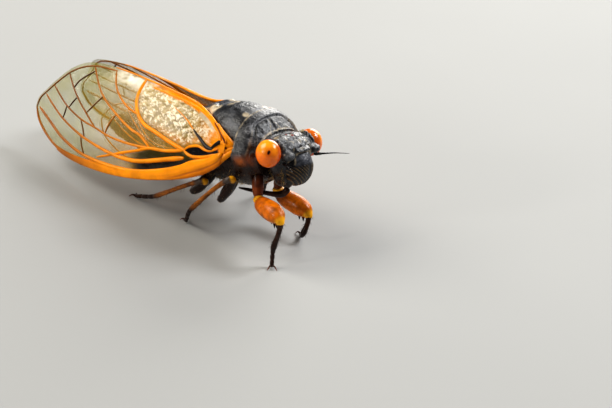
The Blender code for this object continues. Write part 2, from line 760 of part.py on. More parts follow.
def make_leg(name, joints):
    pair = name.split("_")[0]
    seat, out = trunk_seat(*joints["root"], SEAT_GAP[pair])
    root = TO_FLOOR @ seat
    out = TO_FLOOR.to_3x3() @ out
    hip, knee = (TO_FLOOR @ Vector(joints[k]) for k in ("hip", "knee"))
    ankle, toe = Vector(joints["ankle"]), Vector(joints["toe"])
    down = (hip - root).normalized()
    thigh = (knee - hip).normalized()
    shin = (ankle - knee).normalized()
    foot = (toe - ankle).normalized()
    hip_plane = (down + thigh).normalized()
    knee_plane = (thigh + shin).normalized()
    ankle_plane = (shin + foot).normalized()
    still = Matrix()
    seat_plane = (out + down).normalized()
    finish(f"coxa_{name}", limb(root, hip, seat_plane, hip_plane, COXA_RADII), brown_shell(), still)
    femur = [limb(hip, knee, hip_plane, knee_plane, FEMUR_RADII[pair])]
    if pair == "front":
        belly = thigh.cross(Vector((0, 1, 0))).normalized()
        belly *= -math.copysign(1, belly.z)
        for share, length in FEMUR_TEETH:
            start = hip.lerp(knee, share) + belly * 0.35
            femur.append(tube([start, start + belly * (0.3 + length) + thigh * 0.25], [0.26, 0.05], 6))
    finish(f"femur_{name}", fuse(femur) if len(femur) > 1 else femur[0], orange_leg(), still)
    finish(f"tibia_{name}", limb(knee, ankle, knee_plane, ankle_plane, TIBIA_RADII[pair]), dark_leg(), still)
    finish(f"tarsus_{name}", make_foot(ankle, toe, ankle_plane), dark_leg(), still)


def main():
    for old in list(bpy.data.objects):
        bpy.data.objects.remove(old)
    make_head()
    make_eyes()
    make_antennae()
    make_rostrum()
    make_prothorax()
    make_mesothorax()
    make_abdomen()
    make_tail()
    make_wings()
    for name, joints in LEGS.items():
        make_leg(name, joints)


main()
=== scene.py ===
"""Looks of a life-size periodical cicada model that stands on a plain pale floor.

Sizes are millimetres in the insect's own frame: X forward from the front of the crown, Y to its left and Z up
from eye level. A finished mesh is then set over the floor, in metres, by WORLD_FROM_BODY.
"""

import math
import random

import bmesh
import bpy
from mathutils import Matrix, Vector, noise
from mathutils.geometry import interpolate_bezier


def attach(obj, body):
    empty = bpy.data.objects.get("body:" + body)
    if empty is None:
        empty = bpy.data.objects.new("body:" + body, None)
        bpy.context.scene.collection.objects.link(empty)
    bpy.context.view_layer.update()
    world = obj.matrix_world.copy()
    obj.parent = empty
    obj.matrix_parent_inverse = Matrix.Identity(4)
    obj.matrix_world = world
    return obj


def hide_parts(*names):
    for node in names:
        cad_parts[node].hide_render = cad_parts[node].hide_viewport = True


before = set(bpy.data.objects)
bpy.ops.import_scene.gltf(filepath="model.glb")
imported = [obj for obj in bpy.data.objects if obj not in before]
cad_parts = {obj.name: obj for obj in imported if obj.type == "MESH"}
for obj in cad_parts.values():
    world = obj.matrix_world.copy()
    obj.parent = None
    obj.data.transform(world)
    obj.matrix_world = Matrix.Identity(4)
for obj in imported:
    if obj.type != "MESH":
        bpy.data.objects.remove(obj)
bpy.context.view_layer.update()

# Stance
MM = 0.001
BODY_PITCH = math.radians(10.0)
BODY_LIFT = 11.2
FOOT_FRAME_X = 17.3
CENTRE = (-0.65, -0.5)
TO_FLOOR = Matrix.Translation((FOOT_FRAME_X, 0, BODY_LIFT)) @ Matrix.Rotation(-BODY_PITCH, 4, "Y")
WORLD_FROM_FLOOR = Matrix.Scale(MM, 4) @ Matrix.Translation((*CENTRE, 0))
WORLD_FROM_BODY = WORLD_FROM_FLOOR @ TO_FLOOR
NECK_IN_BODY = Vector((-3.35, 0, -0.5))
NECK_IN_HEAD = Vector((-3.0, 0, -0.5))
HEAD_YAW = math.radians(2.5)
HEAD_ROLL = math.radians(-4.6)
HEAD_TURN = (
    Matrix.Translation(NECK_IN_BODY)
    @ Matrix.Rotation(HEAD_YAW, 4, "Z")
    @ Matrix.Rotation(HEAD_ROLL, 4, "X")
    @ Matrix.Translation(-NECK_IN_HEAD)
)
WORLD_FROM_HEAD = WORLD_FROM_BODY @ HEAD_TURN
SIDES = {"right": -1, "left": 1}

# Trunk: rows of x, half width, top, bottom
PROTHORAX_FRONT = -3.95
PROTHORAX_END = -6.1
MESOTHORAX_END = -13.4
ABDOMEN_END = -26.0
TRUNK = [
    (-28.0, 0.30, -1.30, -1.90),
    (-27.0, 0.90, -0.80, -2.30),
    (-25.5, 1.55, -0.20, -2.80),
    (-23.5, 2.15, 0.40, -3.25),
    (-21.0, 2.65, 1.00, -3.75),
    (-18.0, 3.00, 1.50, -4.15),
    (-15.5, 3.25, 1.90, -4.40),
    (-13.4, 3.45, 2.40, -4.55),
    (-11.5, 3.58, 3.15, -4.65),
    (-9.0, 3.92, 3.60, -4.65),
    (-7.0, 4.15, 3.40, -4.40),
    (-6.0, 4.20, 3.05, -4.15),
    (-4.8, 4.00, 2.40, -3.70),
    (-3.9, 3.22, 1.42, -3.05),
]
WIDEST_SHARE = 0.48
SQUARENESS = 0.86
SEGMENTS = 7

# Folded wing sheet: rows of distance from the root, y, z of its low front edge and of its ridge at the back
WING_ROOT_X = -6.7
RIDGE_Y = -0.4
RIDGE_INSET = 0.2
HINDWING_DROP = 1.05
SHEET_BULGE = 1.05
FRONT_LINE = [
    (0.0, -4.75, -0.95),
    (1.0, -5.05, -1.65),
    (3.0, -5.45, -2.75),
    (7.0, -6.00, -3.85),
    (13.0, -6.30, -4.65),
    (19.0, -6.05, -4.72),
    (23.0, -5.35, -4.50),
    (26.0, -4.50, -4.15),
    (30.0, -3.20, -3.50),
]
BACK_LINE = [
    (0.0, -4.50, 1.35),
    (1.2, -3.85, 1.95),
    (2.7, -3.00, 2.45),
    (4.1, -2.25, 2.78),
    (5.4, -1.50, 2.92),
    (6.6, -0.80, 3.00),
    (8.2, RIDGE_Y, 3.32),
    (10.0, RIDGE_Y, 3.70),
    (13.0, RIDGE_Y, 4.30),
    (17.0, RIDGE_Y, 4.95),
    (20.0, RIDGE_Y, 5.25),
    (24.0, RIDGE_Y, 5.20),
    (30.0, RIDGE_Y, 4.60),
]

# Camera: how it looks at the body, and how many pixels of the photograph's frame a millimetre takes there
LOOK_AT = Vector((-0.48, 0.0, -5.69))
VIEW_AZIMUTH = math.radians(40.6)
VIEW_ELEVATION = math.radians(19.8)
VIEW_ROLL = math.radians(-2.5)
VIEW_DISTANCE = 200.0
PIXELS_PER_MM = 9.89
FRAME_PIXELS = 612
SENSOR = 36.0


# Small helpers


def smooth(low, high, x):
    """0 below low and 1 above high, with an even turn between."""
    t = min(max((x - low) / (high - low), 0.0), 1.0)
    return t * t * (3 - 2 * t)


def bump(distance, width):
    """A smooth hill, 1 at distance 0 and 0 from width on."""
    t = min(abs(distance) / width, 1.0)
    return (1 - t * t) ** 2


def mix(a, b, share):
    """The colour that is this share of the way from a to b."""
    return tuple(x + (y - x) * share for x, y in zip(a, b))


def hermite(a, b, slope_a, slope_b, t):
    """A cubic from a to b with these slopes at its ends."""
    return (
        a * (2 * t**3 - 3 * t**2 + 1)
        + slope_a * (t**3 - 2 * t**2 + t)
        + b * (3 * t**2 - 2 * t**3)
        + slope_b * (t**3 - t**2)
    )


def along(rows, key):
    """Smoothly reads a table of (key, value, value, ...) rows, held past its ends."""
    if key <= rows[0][0]:
        return rows[0][1:]
    if key >= rows[-1][0]:
        return rows[-1][1:]
    i = max(k for k in range(len(rows) - 1) if rows[k][0] <= key)
    span = rows[i + 1][0] - rows[i][0]
    t = (key - rows[i][0]) / span
    found = []
    for column in range(1, len(rows[0])):

        def slope(k):
            before, after = rows[max(k - 1, 0)], rows[min(k + 1, len(rows) - 1)]
            return (after[column] - before[column]) / (after[0] - before[0])

        a, b = rows[i][column], rows[i + 1][column]
        found.append(hermite(a, b, slope(i) * span, slope(i + 1) * span, t))
    return found


def smooth_line(points, step):
    """Points about step apart on a smooth curve through the given ones."""
    points = [Vector(p) for p in points]
    found = []
    for i in range(len(points) - 1):
        before, after = points[max(i - 1, 0)], points[min(i + 2, len(points) - 1)]
        a, b = points[i], points[i + 1]
        count = max(1, round((b - a).length / step))
        for k in range(count):
            found.append(hermite(a, b, (b - before) / 2, (after - a) / 2, k / count))
    return found + [points[-1]]


def distance_to_line(p, line):
    """The shortest way from p to a line through points."""
    best = 1e9
    for a, b in zip(line, line[1:]):
        side = b - a
        t = min(max((p - a).dot(side) / side.length_squared, 0.0), 1.0)
        best = min(best, (p - a - side * t).length)
    return best


def distance_inside(p, outline):
    """How far p lies inside a closed outline of the wing plan, below 0 outside it."""
    inside = False
    for a, b in zip(outline, outline[1:] + outline[:1]):
        if (a.y > p.y) != (b.y > p.y) and p.x < a.x + (b.x - a.x) * (p.y - a.y) / (b.y - a.y):
            inside = not inside
    far = distance_to_line(p, outline + outline[:1])
    return far if inside else -far


def ripple(p, scale, depth=3):
    """Even random relief, about -1 to 1, whose folds are about scale mm wide."""
    return noise.fractal(p / scale, 1.0, 2.0, depth)


def crease(p, scale, depth=2):
    """Sharp random folds, 0 in their valleys and 1 on their crests."""
    return 1 - min(1.0, 2.2 * abs(ripple(p, scale, depth)))


# Body shapes


def trunk_point(x, angle, grow=0.0):
    """A point of the trunk's skin. Angle 0 is the left side and 90 degrees the back."""
    half, top, bottom = along(TRUNK, x)
    middle = bottom + (top - bottom) * WIDEST_SHARE
    c, s = math.cos(angle), math.sin(angle)
    y = half * math.copysign(abs(c) ** SQUARENESS, c)
    reach = top - middle if s > 0 else middle - bottom
    z = middle + reach * math.copysign(abs(s) ** SQUARENESS, s)
    out = Vector((0, y, z - middle)).normalized() * grow
    return Vector((x, y + out.y, z + out.z))


def sheet_width(u):
    """The length of the sheet's arc from its front edge to its ridge."""
    return SHEET_BULGE * (Vector(along(BACK_LINE, u)) - Vector(along(FRONT_LINE, u))).length


def arc_of(ratio):
    """The angle of a circular arc whose chord is this share of its length."""
    angle = math.sqrt(24 * (1 - ratio))
    for _ in range(6):
        half = angle / 2
        slope = (math.cos(half) * half - math.sin(half)) / (2 * half * half)
        angle -= (math.sin(half) / half - ratio) / slope
    return angle


SHEET_BEND = arc_of(1 / SHEET_BULGE)


def sheet_point(u, v):
    """A point of the right wing's sheet: u mm from the root, v mm from its front edge."""
    front = Vector(along(FRONT_LINE, u))
    back = Vector(along(BACK_LINE, u))
    chord = back - front
    radius = chord.length / (2 * math.sin(SHEET_BEND / 2))
    angle = math.atan2(chord.y, chord.x) + SHEET_BEND / 2
    turned = v / radius
    y = front.x + radius * (math.sin(angle) - math.sin(angle - turned))
    z = front.y - radius * (math.cos(angle) - math.cos(angle - turned))
    return Vector((WING_ROOT_X - u, y, z))


def sheet_normal(u, v):
    """The sheet's outward direction."""
    step = 0.05
    du = sheet_point(u + step, v) - sheet_point(u - step, v)
    dv = sheet_point(u, v + step) - sheet_point(u, v - step)
    return dv.cross(du).normalized()


# Making and finishing pieces


def placed(name, data):
    """A new object in the scene."""
    thing = bpy.data.objects.new(name, data)
    bpy.context.scene.collection.objects.link(thing)
    return thing


def taken_from(holder):
    """The finished mesh of a helper object, which is then removed."""
    bpy.context.view_layer.update()
    graph = bpy.context.evaluated_depsgraph_get()
    bm = bmesh.new()
    bm.from_mesh(bpy.data.meshes.new_from_object(holder.evaluated_get(graph)))
    bpy.data.objects.remove(holder)
    return bm


def body_grid(rows, around, place):
    """A closed skin: place(s, t) gives its point for s along it and t round it, both from 0 to 1."""
    bm = bmesh.new()
    bmesh.ops.create_grid(bm, x_segments=rows, y_segments=around, size=0.5)
    for v in bm.verts:
        v.co = place(v.co.x + 0.5, v.co.y + 0.5)
    bmesh.ops.remove_doubles(bm, verts=bm.verts, dist=1e-4)
    bmesh.ops.holes_fill(bm, edges=[e for e in bm.edges if e.is_boundary])
    bmesh.ops.recalc_face_normals(bm, faces=bm.faces)
    return bm


def add_ball(bm, centre, radii, around=32, rows=24, turn=None, shape=None):
    """Adds an ellipsoid with its poles on Z before its turn. shape scales each point of the unit ball."""
    ball = bmesh.ops.create_uvsphere(bm, u_segments=around, v_segments=rows, radius=1.0)["verts"]
    if shape:
        for v in ball:
            v.co *= shape(v.co)
    place = Matrix.Translation(centre) @ (turn or Matrix()) @ Matrix.Diagonal((*radii, 1))
    bmesh.ops.transform(bm, matrix=place, verts=ball)
    return ball


def strands(paths, sides):
    """One bmesh of closed tapered tubes. A path is a list of (point, radius, colour)."""
    curve = bpy.data.curves.new("strands", "CURVE")
    curve.dimensions = "3D"
    curve.bevel_depth = 1.0
    curve.bevel_resolution = (sides - 4) // 2
    for path in paths:
        spline = curve.splines.new("POLY")
        spline.points.add(len(path) - 1)
        for point, (p, radius, _) in zip(spline.points, path):
            point.co = (*p, 1)
            point.radius = radius
    bm = taken_from(placed("strands", curve))
    bpy.data.curves.remove(curve)
    layer = bm.verts.layers.float_color.new("paint")
    colours = [colour for path in paths for _, _, colour in path]
    for k, v in enumerate(bm.verts):
        v[layer] = (*colours[k // sides], 1)
    bmesh.ops.holes_fill(bm, edges=[e for e in bm.edges if e.is_boundary], sides=0)
    bmesh.ops.recalc_face_normals(bm, faces=bm.faces)
    return bm


# Rings of a tube's round end: how far out and how wide, both as shares of its radius
DOME = [(0.5, 0.87), (0.87, 0.5), (1.0, 0.12)]


def domed(path):
    """The path of a tube with a round end at both its ends."""
    ends = []
    for (a, radius, colour), (b, _, _) in ((path[0], path[1]), (path[-1], path[-2])):
        out = (a - b).normalized()
        ends.append([(a + out * radius * far, radius * wide, colour) for far, wide in DOME])
    return ends[0][::-1] + path + ends[1]


def painted(bm, colour_at):
    """Stores the colour of every point as the piece's own attribute."""
    layer = bm.verts.layers.float_color.new("paint")
    for v in bm.verts:
        v[layer] = (*colour_at(v.co), 1.0)


def finish(name, bm, paint, nodes, place=WORLD_FROM_BODY, flat_above=50):
    """Sets a finished piece in the world, in metres, rides it on the model and hides what it stands for."""
    mesh = bpy.data.meshes.new(name)
    bm.normal_update()
    bm.to_mesh(mesh)
    bm.free()
    mesh.transform(place)
    mesh.shade_smooth()
    mesh.set_sharp_from_angle(angle=math.radians(flat_above))
    mesh.materials.clear()
    mesh.materials.append(paint)
    piece = placed(name, mesh)
    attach(piece, "root")
    if nodes:
        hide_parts(*nodes)


# Materials


def new_material(name, **sockets):
    """A Principled material with these plain socket values, its node tree and its shader."""
    material = bpy.data.materials.new(name)
    material.use_nodes = True
    tree = material.node_tree
    shader = tree.nodes["Principled BSDF"]
    for socket, value in sockets.items():
        shader.inputs[socket.replace("_", " ")].default_value = value
    return material, tree, shader


NOISE = "ShaderNodeTexNoise"
CELLS = "ShaderNodeTexVoronoi"


def grain(tree, folds_per_mm, detail, kind=NOISE):
    """A noise or cell texture on Object coordinates. Returns its first value output."""
    place = tree.nodes.new("ShaderNodeTexCoord")
    texture = tree.nodes.new(kind)
    texture.inputs["Scale"].default_value = folds_per_mm / MM
    texture.inputs["Detail"].default_value = detail
    tree.links.new(place.outputs["Object"], texture.inputs["Vector"])
    return texture.outputs["Distance" if kind == CELLS else "Fac"]


def ranged(tree, value, low, high, start=0.3, end=0.7):
    """Maps a texture's middle range to low to high."""
    node = tree.nodes.new("ShaderNodeMapRange")
    node.inputs["From Min"].default_value = start
    node.inputs["From Max"].default_value = end
    node.inputs["To Min"].default_value = low
    node.inputs["To Max"].default_value = high
    tree.links.new(value, node.inputs["Value"])
    return node.outputs["Result"]


def relief(tree, shader, value, height, strength, under):
    """Bumps the surface, over an earlier bump, by a texture whose full range is height mm."""
    node = tree.nodes.new("ShaderNodeBump")
    node.inputs["Strength"].default_value = strength
    node.inputs["Distance"].default_value = height * MM
    tree.links.new(value, node.inputs["Height"])
    if under:
        tree.links.new(under, node.inputs["Normal"])
    tree.links.new(node.outputs["Normal"], shader.inputs["Normal"])
    return node.outputs["Normal"]


def paint_colour(tree, shader, value, darkest):
    """The piece's paint attribute as its colour, made lighter and darker by a texture."""
    paint = tree.nodes.new("ShaderNodeAttribute")
    paint.attribute_name = "paint"
    shade = tree.nodes.new("ShaderNodeMix")
    shade.data_type = "RGBA"
    shade.blend_type = "MULTIPLY"
    shade.inputs["Factor"].default_value = 1.0
    tree.links.new(paint.outputs["Color"], shade.inputs["A"])
    tree.links.new(ranged(tree, value, darkest, 2 - darkest), shade.inputs["B"])
    tree.links.new(shade.outputs["Result"], shader.inputs["Base Color"])


def make_paint(name, shade, bumps=(), rough=None, **sockets):
    """A material for a painted piece, with its tree and shader.

    shade is a noise's folds per mm, its detail and how dark it makes the paint, rough is a noise and the
    roughness range that it gives, and a bump is a texture, its height in mm and its strength.
    """
    material, tree, shader = new_material(name, **sockets)
    folds, detail, darkest = shade
    paint_colour(tree, shader, grain(tree, folds, detail), darkest)
    if rough:
        folds, detail, low, high = rough
        tree.links.new(ranged(tree, grain(tree, folds, detail), low, high), shader.inputs["Roughness"])
    under = None
    for kind, folds, detail, height, strength in bumps:
        under = relief(tree, shader, grain(tree, folds, detail, kind), height, strength, under)
    return material, tree, shader


def make_shell():
    """Satin black shell with fine pits and wrinkles."""
    bumps = [(CELLS, 9.0, 4, 0.02, 0.6), (NOISE, 2.6, 5, 0.06, 1.0)]
    gloss = {"IOR": 1.5, "Specular_IOR_Level": 0.42}
    return make_paint("black shell", (1.2, 5, 0.55), bumps, (1.2, 5, 0.16, 0.4), **gloss)[0]


def make_eye_paint():
    """Glossy orange with the faint net of its facets."""
    gloss = {"Roughness": 0.16, "IOR": 1.45, "Specular_IOR_Level": 0.3}
    coat = {"Coat_Weight": 0.45, "Coat_Roughness": 0.04}
    return make_paint("eye", (2.5, 3, 0.88), [(CELLS, 22.0, 4, 0.006, 0.4)], **gloss, **coat)[0]


def make_leg_paint():
    """Glossy amber to brown leg shell with faint length streaks."""
    gloss = {"IOR": 1.5, "Specular_IOR_Level": 0.22}
    inside = {"Subsurface_Weight": 0.05, "Subsurface_Radius": (0.0006, 0.0002, 0.0001)}
    bumps = [(NOISE, 5.0, 5, 0.03, 0.7)]
    return make_paint("leg shell", (2.0, 5, 0.7), bumps, (1.5, 4, 0.22, 0.42), **gloss, **inside)[0]


def make_vein_paint():
    """Smooth orange tubes that let a little light in."""
    gloss = {"Roughness": 0.3, "Specular_IOR_Level": 0.22}
    inside = {"Subsurface_Weight": 0.05, "Subsurface_Radius": (0.0005, 0.0002, 0.0001)}
    return make_paint("wing veins", (0.7, 4, 0.82), [(NOISE, 2.0, 4, 0.03, 0.6)], **gloss, **inside)[0]


def make_membrane_paint():
    """Clear wing film. Its cover attribute says how much of its tint can't be seen through."""
    gloss = {"IOR": 1.5, "Specular_IOR_Level": 0.35}
    bumps = [(NOISE, 1.4, 4, 0.09, 0.9)]
    material, tree, shader = make_paint("wing film", (0.8, 3, 0.8), bumps, (1.1, 3, 0.06, 0.25), **gloss)
    cover = tree.nodes.new("ShaderNodeAttribute")
    cover.attribute_name = "cover"
    tree.links.new(cover.outputs["Fac"], shader.inputs["Alpha"])
    return material


def make_hair_paint():
    """Golden hair, a little darker here and there."""
    return make_paint("golden hair", (1.5, 2, 0.7), Roughness=0.45, Specular_IOR_Level=0.4)[0]


# Colours


BLACK = (0.006, 0.006, 0.007)
GROOVE_SHADE_BLACK = (0.003, 0.003, 0.0035)
CHARCOAL = (0.042, 0.043, 0.047)
DEEP_BROWN = (0.018, 0.006, 0.003)
RUST = (0.20, 0.045, 0.008)
PATCH_RUST = (0.36, 0.09, 0.010)
DUST_AND_GLINT = (0.38, 0.38, 0.39)
CREAM = (0.62, 0.50, 0.33)
EYE_ORANGE = (0.95, 0.19, 0.004)
EYE_TOP_HIGHLIGHT = (1.0, 0.36, 0.012)
EYE_RED = (0.55, 0.05, 0.003)
GARNET = (0.12, 0.012, 0.004)
PUPIL_BLACK = (0.008, 0.003, 0.002)
LEG_RED = (0.42, 0.085, 0.002)
LEG_YELLOW = (0.90, 0.42, 0.012)
LEG_ORANGE = (0.58, 0.14, 0.002)
LEG_BROWN = (0.035, 0.011, 0.004)
LEG_TAN = (0.30, 0.095, 0.008)
LEG_SHEEN_GREY = (0.07, 0.05, 0.04)
VEIN_ORANGE = (0.93, 0.30, 0.001)
VEIN_SHADE_RED = (0.72, 0.16, 0.001)
VEIN_BROWN = (0.36, 0.11, 0.008)
FILM_CLEAR = (0.55, 0.34, 0.07)
FILM_OLIVE = (0.30, 0.27, 0.04)
FILM_AMBER = (0.40, 0.28, 0.09)
FILM_GOLD = (0.62, 0.46, 0.21)
FILM_CREST_HIGHLIGHT = (0.95, 0.80, 0.58)
FILM_RIDGE_GLARE = (1.0, 0.92, 0.76)
FILM_HOLLOW_SHADE = (0.17, 0.11, 0.03)
FILM_SHADE_SMOKE = (0.010, 0.006, 0.002)
FILM_SHADE_DUSK = (0.045, 0.034, 0.006)
FILM_BLACK = (0.006, 0.005, 0.006)
VEIN_BLACK = (0.02, 0.014, 0.014)
VEIN_DARK = (0.05, 0.018, 0.01)
VANE_GROOVE_SHADE = (0.22, 0.04, 0.004)
PLATE_SHEEN_GREY = (0.11, 0.115, 0.135)
RIB_GOLD = (0.34, 0.21, 0.08)
OCELLUS_RED = (0.22, 0.02, 0.008)
PAINTED_SHEEN_GREY = (0.07, 0.075, 0.09)
RING_TAN = (0.55, 0.20, 0.05)
HAIR_GOLD = (0.60, 0.38, 0.12)
HAIR_CREAM = (0.75, 0.62, 0.40)
HAIR_BLACK = (0.02, 0.012, 0.008)
FLOOR_GREY = (0.36, 0.36, 0.35, 1)
SKY_WHITE = (0.94, 0.96, 1.0, 1)


# Head


SKULL_SIDE = 2.9
SKULL_VOXEL = 0.08
EYE_CENTRE = Vector((-2.0, 3.5, 0.05))
EYE_RADII = (1.3, 1.25, 1.42)
FAR_EYE_SHIFT = Vector((0, -0.18, -0.2))
CLYPEUS_CENTRE = (-1.35, 0, -1.75)
CLYPEUS_RADII = (1.9, 2.1, 1.75)
RIB_COUNT = 39
RIB_SLANT = 0.9
RIB_HEIGHT = 0.014
MIDDLE_DROP = 0.02
RIB_FROM, RIB_TO = math.radians(-110), math.radians(16)
PLATE_TO = math.radians(60)
PLATE_SIDE = [(0.35, 0.78), (0.84, 0.67), (1.24, 0.5)]
PLATE_DROP = 0.02
PLATE_FOLDS = 0.008
CROWN_FOLDS = 0.07
CROWN_FINE_FOLDS = 0.03
CROWN_FURROW = 0.10
BROW_FURROW = 0.12
BEAK_BASE = ((-2.35, 0, -3.4), (0.7, 0.7, 0.95))


def rib_wave(across, up):
    """The ribs of the face rise from its middle line to both sides. 1 is a crest and -1 a valley."""
    return math.cos(RIB_COUNT * (up - RIB_SLANT * abs(across)))


def clypeus_shape(p):
    """How far each point of the face's unit ball is drawn out or in. The ball's poles are its two sides."""
    angle = math.atan2(p.y, p.x)
    ends = smooth(RIB_FROM, RIB_FROM + 0.2, angle) * (1 - smooth(RIB_TO - 0.2, RIB_TO, angle))
    side = smooth(0.04, 0.16, abs(p.z)) * smooth(0.99, 0.9, abs(p.z))
    ribs = RIB_HEIGHT * side * ends * rib_wave(p.z, p.y)
    plate = smooth(RIB_TO - 0.1, RIB_TO + 0.05, angle) * smooth(PLATE_TO + 0.1, PLATE_TO - 0.05, angle)
    folds = PLATE_FOLDS * plate * ripple(Vector((0, p.y * 3 + abs(p.z), p.z)), 0.3)
    return 1 + ribs - PLATE_DROP * plate + folds - MIDDLE_DROP * bump(p.z, 0.1) * (1 - plate)


def crown_crease(p):
    """The fine folds of the crown, which also carry its dust and painted highlights."""
    return crease(p + Vector((5, 0, 0)), 0.6)


def head_relief(p):
    """Shallow folds between the eyes, with a furrow behind the brow plates."""
    folds = CROWN_FOLDS * crease(p, 1.3) + CROWN_FINE_FOLDS * crown_crease(p) - 0.05
    middle = CROWN_FURROW * bump(p.y, 0.25) * smooth(0.3, 0.9, p.z)
    arch = BROW_FURROW * bump(p.x + 1.15 + 0.12 * abs(p.y), 0.22) * smooth(0.4, 0.9, p.z)
    return folds * smooth(-2.6, -1.2, p.z) - middle - arch


def face_share(p):
    """A head point in the face bulge's own measure: forward, up and across, 1 on its surface."""
    x, y, z = p - Vector(CLYPEUS_CENTRE)
    return Vector((x / CLYPEUS_RADII[0], z / CLYPEUS_RADII[1], y / CLYPEUS_RADII[2]))


# Worn lines on both sides of the head: width, strength, points
PALE_LINES = [
    (0.13, 0.60, [(-1.53, 1.26, 1.18), (-0.93, 0.89, 0.89), (-0.49, 1.29, 0.22), (-0.45, 1.40, -0.6)]),
    (0.14, 0.50, [(-0.98, 2.37, 0.77), (-0.59, 2.70, -0.03)]),
    (0.12, 0.65, [(-2.0, 0.10, 1.3), (-1.33, 0.04, 1.06)]),
    (0.13, 0.55, [(-0.92, 0.16, 0.94), (-0.70, 0.13, 0.72)]),
    (0.11, 0.80, [(-0.20, 0.36, 0.18), (0.03, 0.41, -0.08)]),
    (0.14, 0.55, [(-2.55, 1.0, 1.35), (-2.5, 2.2, 1.15)]),
]


def head_colour(p):
    """Charcoal with pale worn folds, whose crests are dust and painted highlight, painted shade that makes it
    dark brown toward the bottom, a pale line round the face and a dusty hind rim.
    """
    colour = mix(CHARCOAL, BLACK, smooth(-0.4, 0.8, ripple(p, 0.8)))
    # Painted shade: dark brown toward the bottom of the head.
    colour = mix(colour, DEEP_BROWN, 0.7 * smooth(-1.2, -2.4, p.z))
    # Pale dust and painted highlights on the crests of the fine folds, toward the top.
    colour = mix(colour, DUST_AND_GLINT, 0.28 * smooth(0.7, 0.95, crown_crease(p)) * smooth(-0.8, 0.4, p.z))
    mirrored = Vector((p.x, abs(p.y), p.z))
    worn = 0.7 * bump(face_share(p).length - 1.06, 0.08) * smooth(-1.5, -0.9, p.z)
    worn = max(worn, 0.6 * bump(p.x + 3.5, 0.18) * smooth(0.6, 1.1, p.z))
    for width, strength, line in PALE_LINES:
        far = distance_to_line(mirrored, [Vector(q) for q in line])
        worn = max(worn, strength * bump(far, width))
    patchy = min(1.0, max(0.0, 0.65 + 1.1 * ripple(p, 0.35)))
    return mix(colour, CREAM, worn * patchy)


# Centre and radii of what the skull is blended from. Those off the middle are on both sides.
SKULL = [
    ((-2.3, 0, -0.22), (2.05, 3.6, 1.62)),
    ((-3.25, 0, 0.0), (1.15, 3.0, 1.38)),
    ((-2.1, 0, -1.75), (1.35, 2.55, 1.85)),
    ((-1.95, 2.35, 0.08), (1.24, 0.5, 1.26)),
    ((-0.72, 2.12, -0.3), (0.82, 0.78, 0.48)),
    ((-1.95, 1.52, -2.55), (0.8, 0.75, 1.2)),
    ((-1.2, 0, 0.0), (1.35, 1.45, 0.38)),
]


def make_skull():
    """The head's blended shell, before its face is set in."""
    bm = bmesh.new()
    for centre, radii in SKULL:
        for side in (-1, 1) if centre[1] else (1,):
            add_ball(bm, (centre[0], centre[1] * side, centre[2]), radii, 64, 40)
    mesh = bpy.data.meshes.new("skull")
    bm.to_mesh(mesh)
    bm.free()
    holder = placed("skull", mesh)
    blend = holder.modifiers.new("blend", "REMESH")
    blend.mode = "VOXEL"
    blend.voxel_size = SKULL_VOXEL
    soften = holder.modifiers.new("soften", "SMOOTH")
    soften.iterations = 6
    bm = taken_from(holder)
    bm.normal_update()
    moves = [(v, v.normal * head_relief(v.co)) for v in bm.verts]
    for v, move in moves:
        v.co += move
        v.co.y = max(min(v.co.y, SKULL_SIDE), -SKULL_SIDE)
    return bm


def clypeus_colour(p):
    """Black, with a painted grey sheen on the upper plate and worn golden edges on the ribs of both sides."""
    x, z, y = face_share(p)
    angle = math.atan2(z, x)
    side = along(PLATE_SIDE, angle)[0]
    inside = smooth(side + 0.03, side - 0.03, abs(y))
    upper = smooth(RIB_TO - 0.15, RIB_TO + 0.1, angle) * inside
    # Painted sheen: grey on the upper plate.
    colour = mix(BLACK, PLATE_SHEEN_GREY, upper * (0.6 + 0.5 * ripple(Vector((0, p.z * 3, p.y)), 0.35)))
    edge = smooth(0.3, 0.9, rib_wave(y, z)) * smooth(0.05, 0.2, abs(y)) * smooth(-0.02, 0.1, x)
    worn = edge * smooth(RIB_TO, RIB_TO - 0.2, angle) * max(0.0, 0.6 + 0.7 * ripple(p, 0.4))
    colour = mix(colour, RIB_GOLD, min(1.0, 0.75 * worn))
    top = bump(angle - PLATE_TO, 0.09) * inside
    flank = bump(abs(y) - side, 0.06) * smooth(0.3, 0.45, angle) * smooth(PLATE_TO + 0.1, PLATE_TO, angle)
    return mix(colour, CREAM, min(1.0, 0.85 * max(top, flank) * (0.8 + 0.5 * ripple(p, 0.4))))


def make_head(shell):
    """The skull with the ball that carries the beak, and the ribbed face in front of it."""
    bm = make_skull()
    add_ball(bm, *BEAK_BASE)
    painted(bm, head_colour)
    finish("head_shell", bm, shell, ["head"], WORLD_FROM_HEAD)
    bm = bmesh.new()
    across = Matrix.Rotation(math.radians(90), 4, "X")
    add_ball(bm, CLYPEUS_CENTRE, CLYPEUS_RADII, 288, 160, across, clypeus_shape)
    painted(bm, clypeus_colour)
    finish("face_bulge", bm, shell, [], WORLD_FROM_HEAD)


PUPIL_SPREAD = 0.17
PUPIL_STRETCH = 1.5
PUPIL_AIM = Vector((0.60, 0.74, 0.29)).normalized()


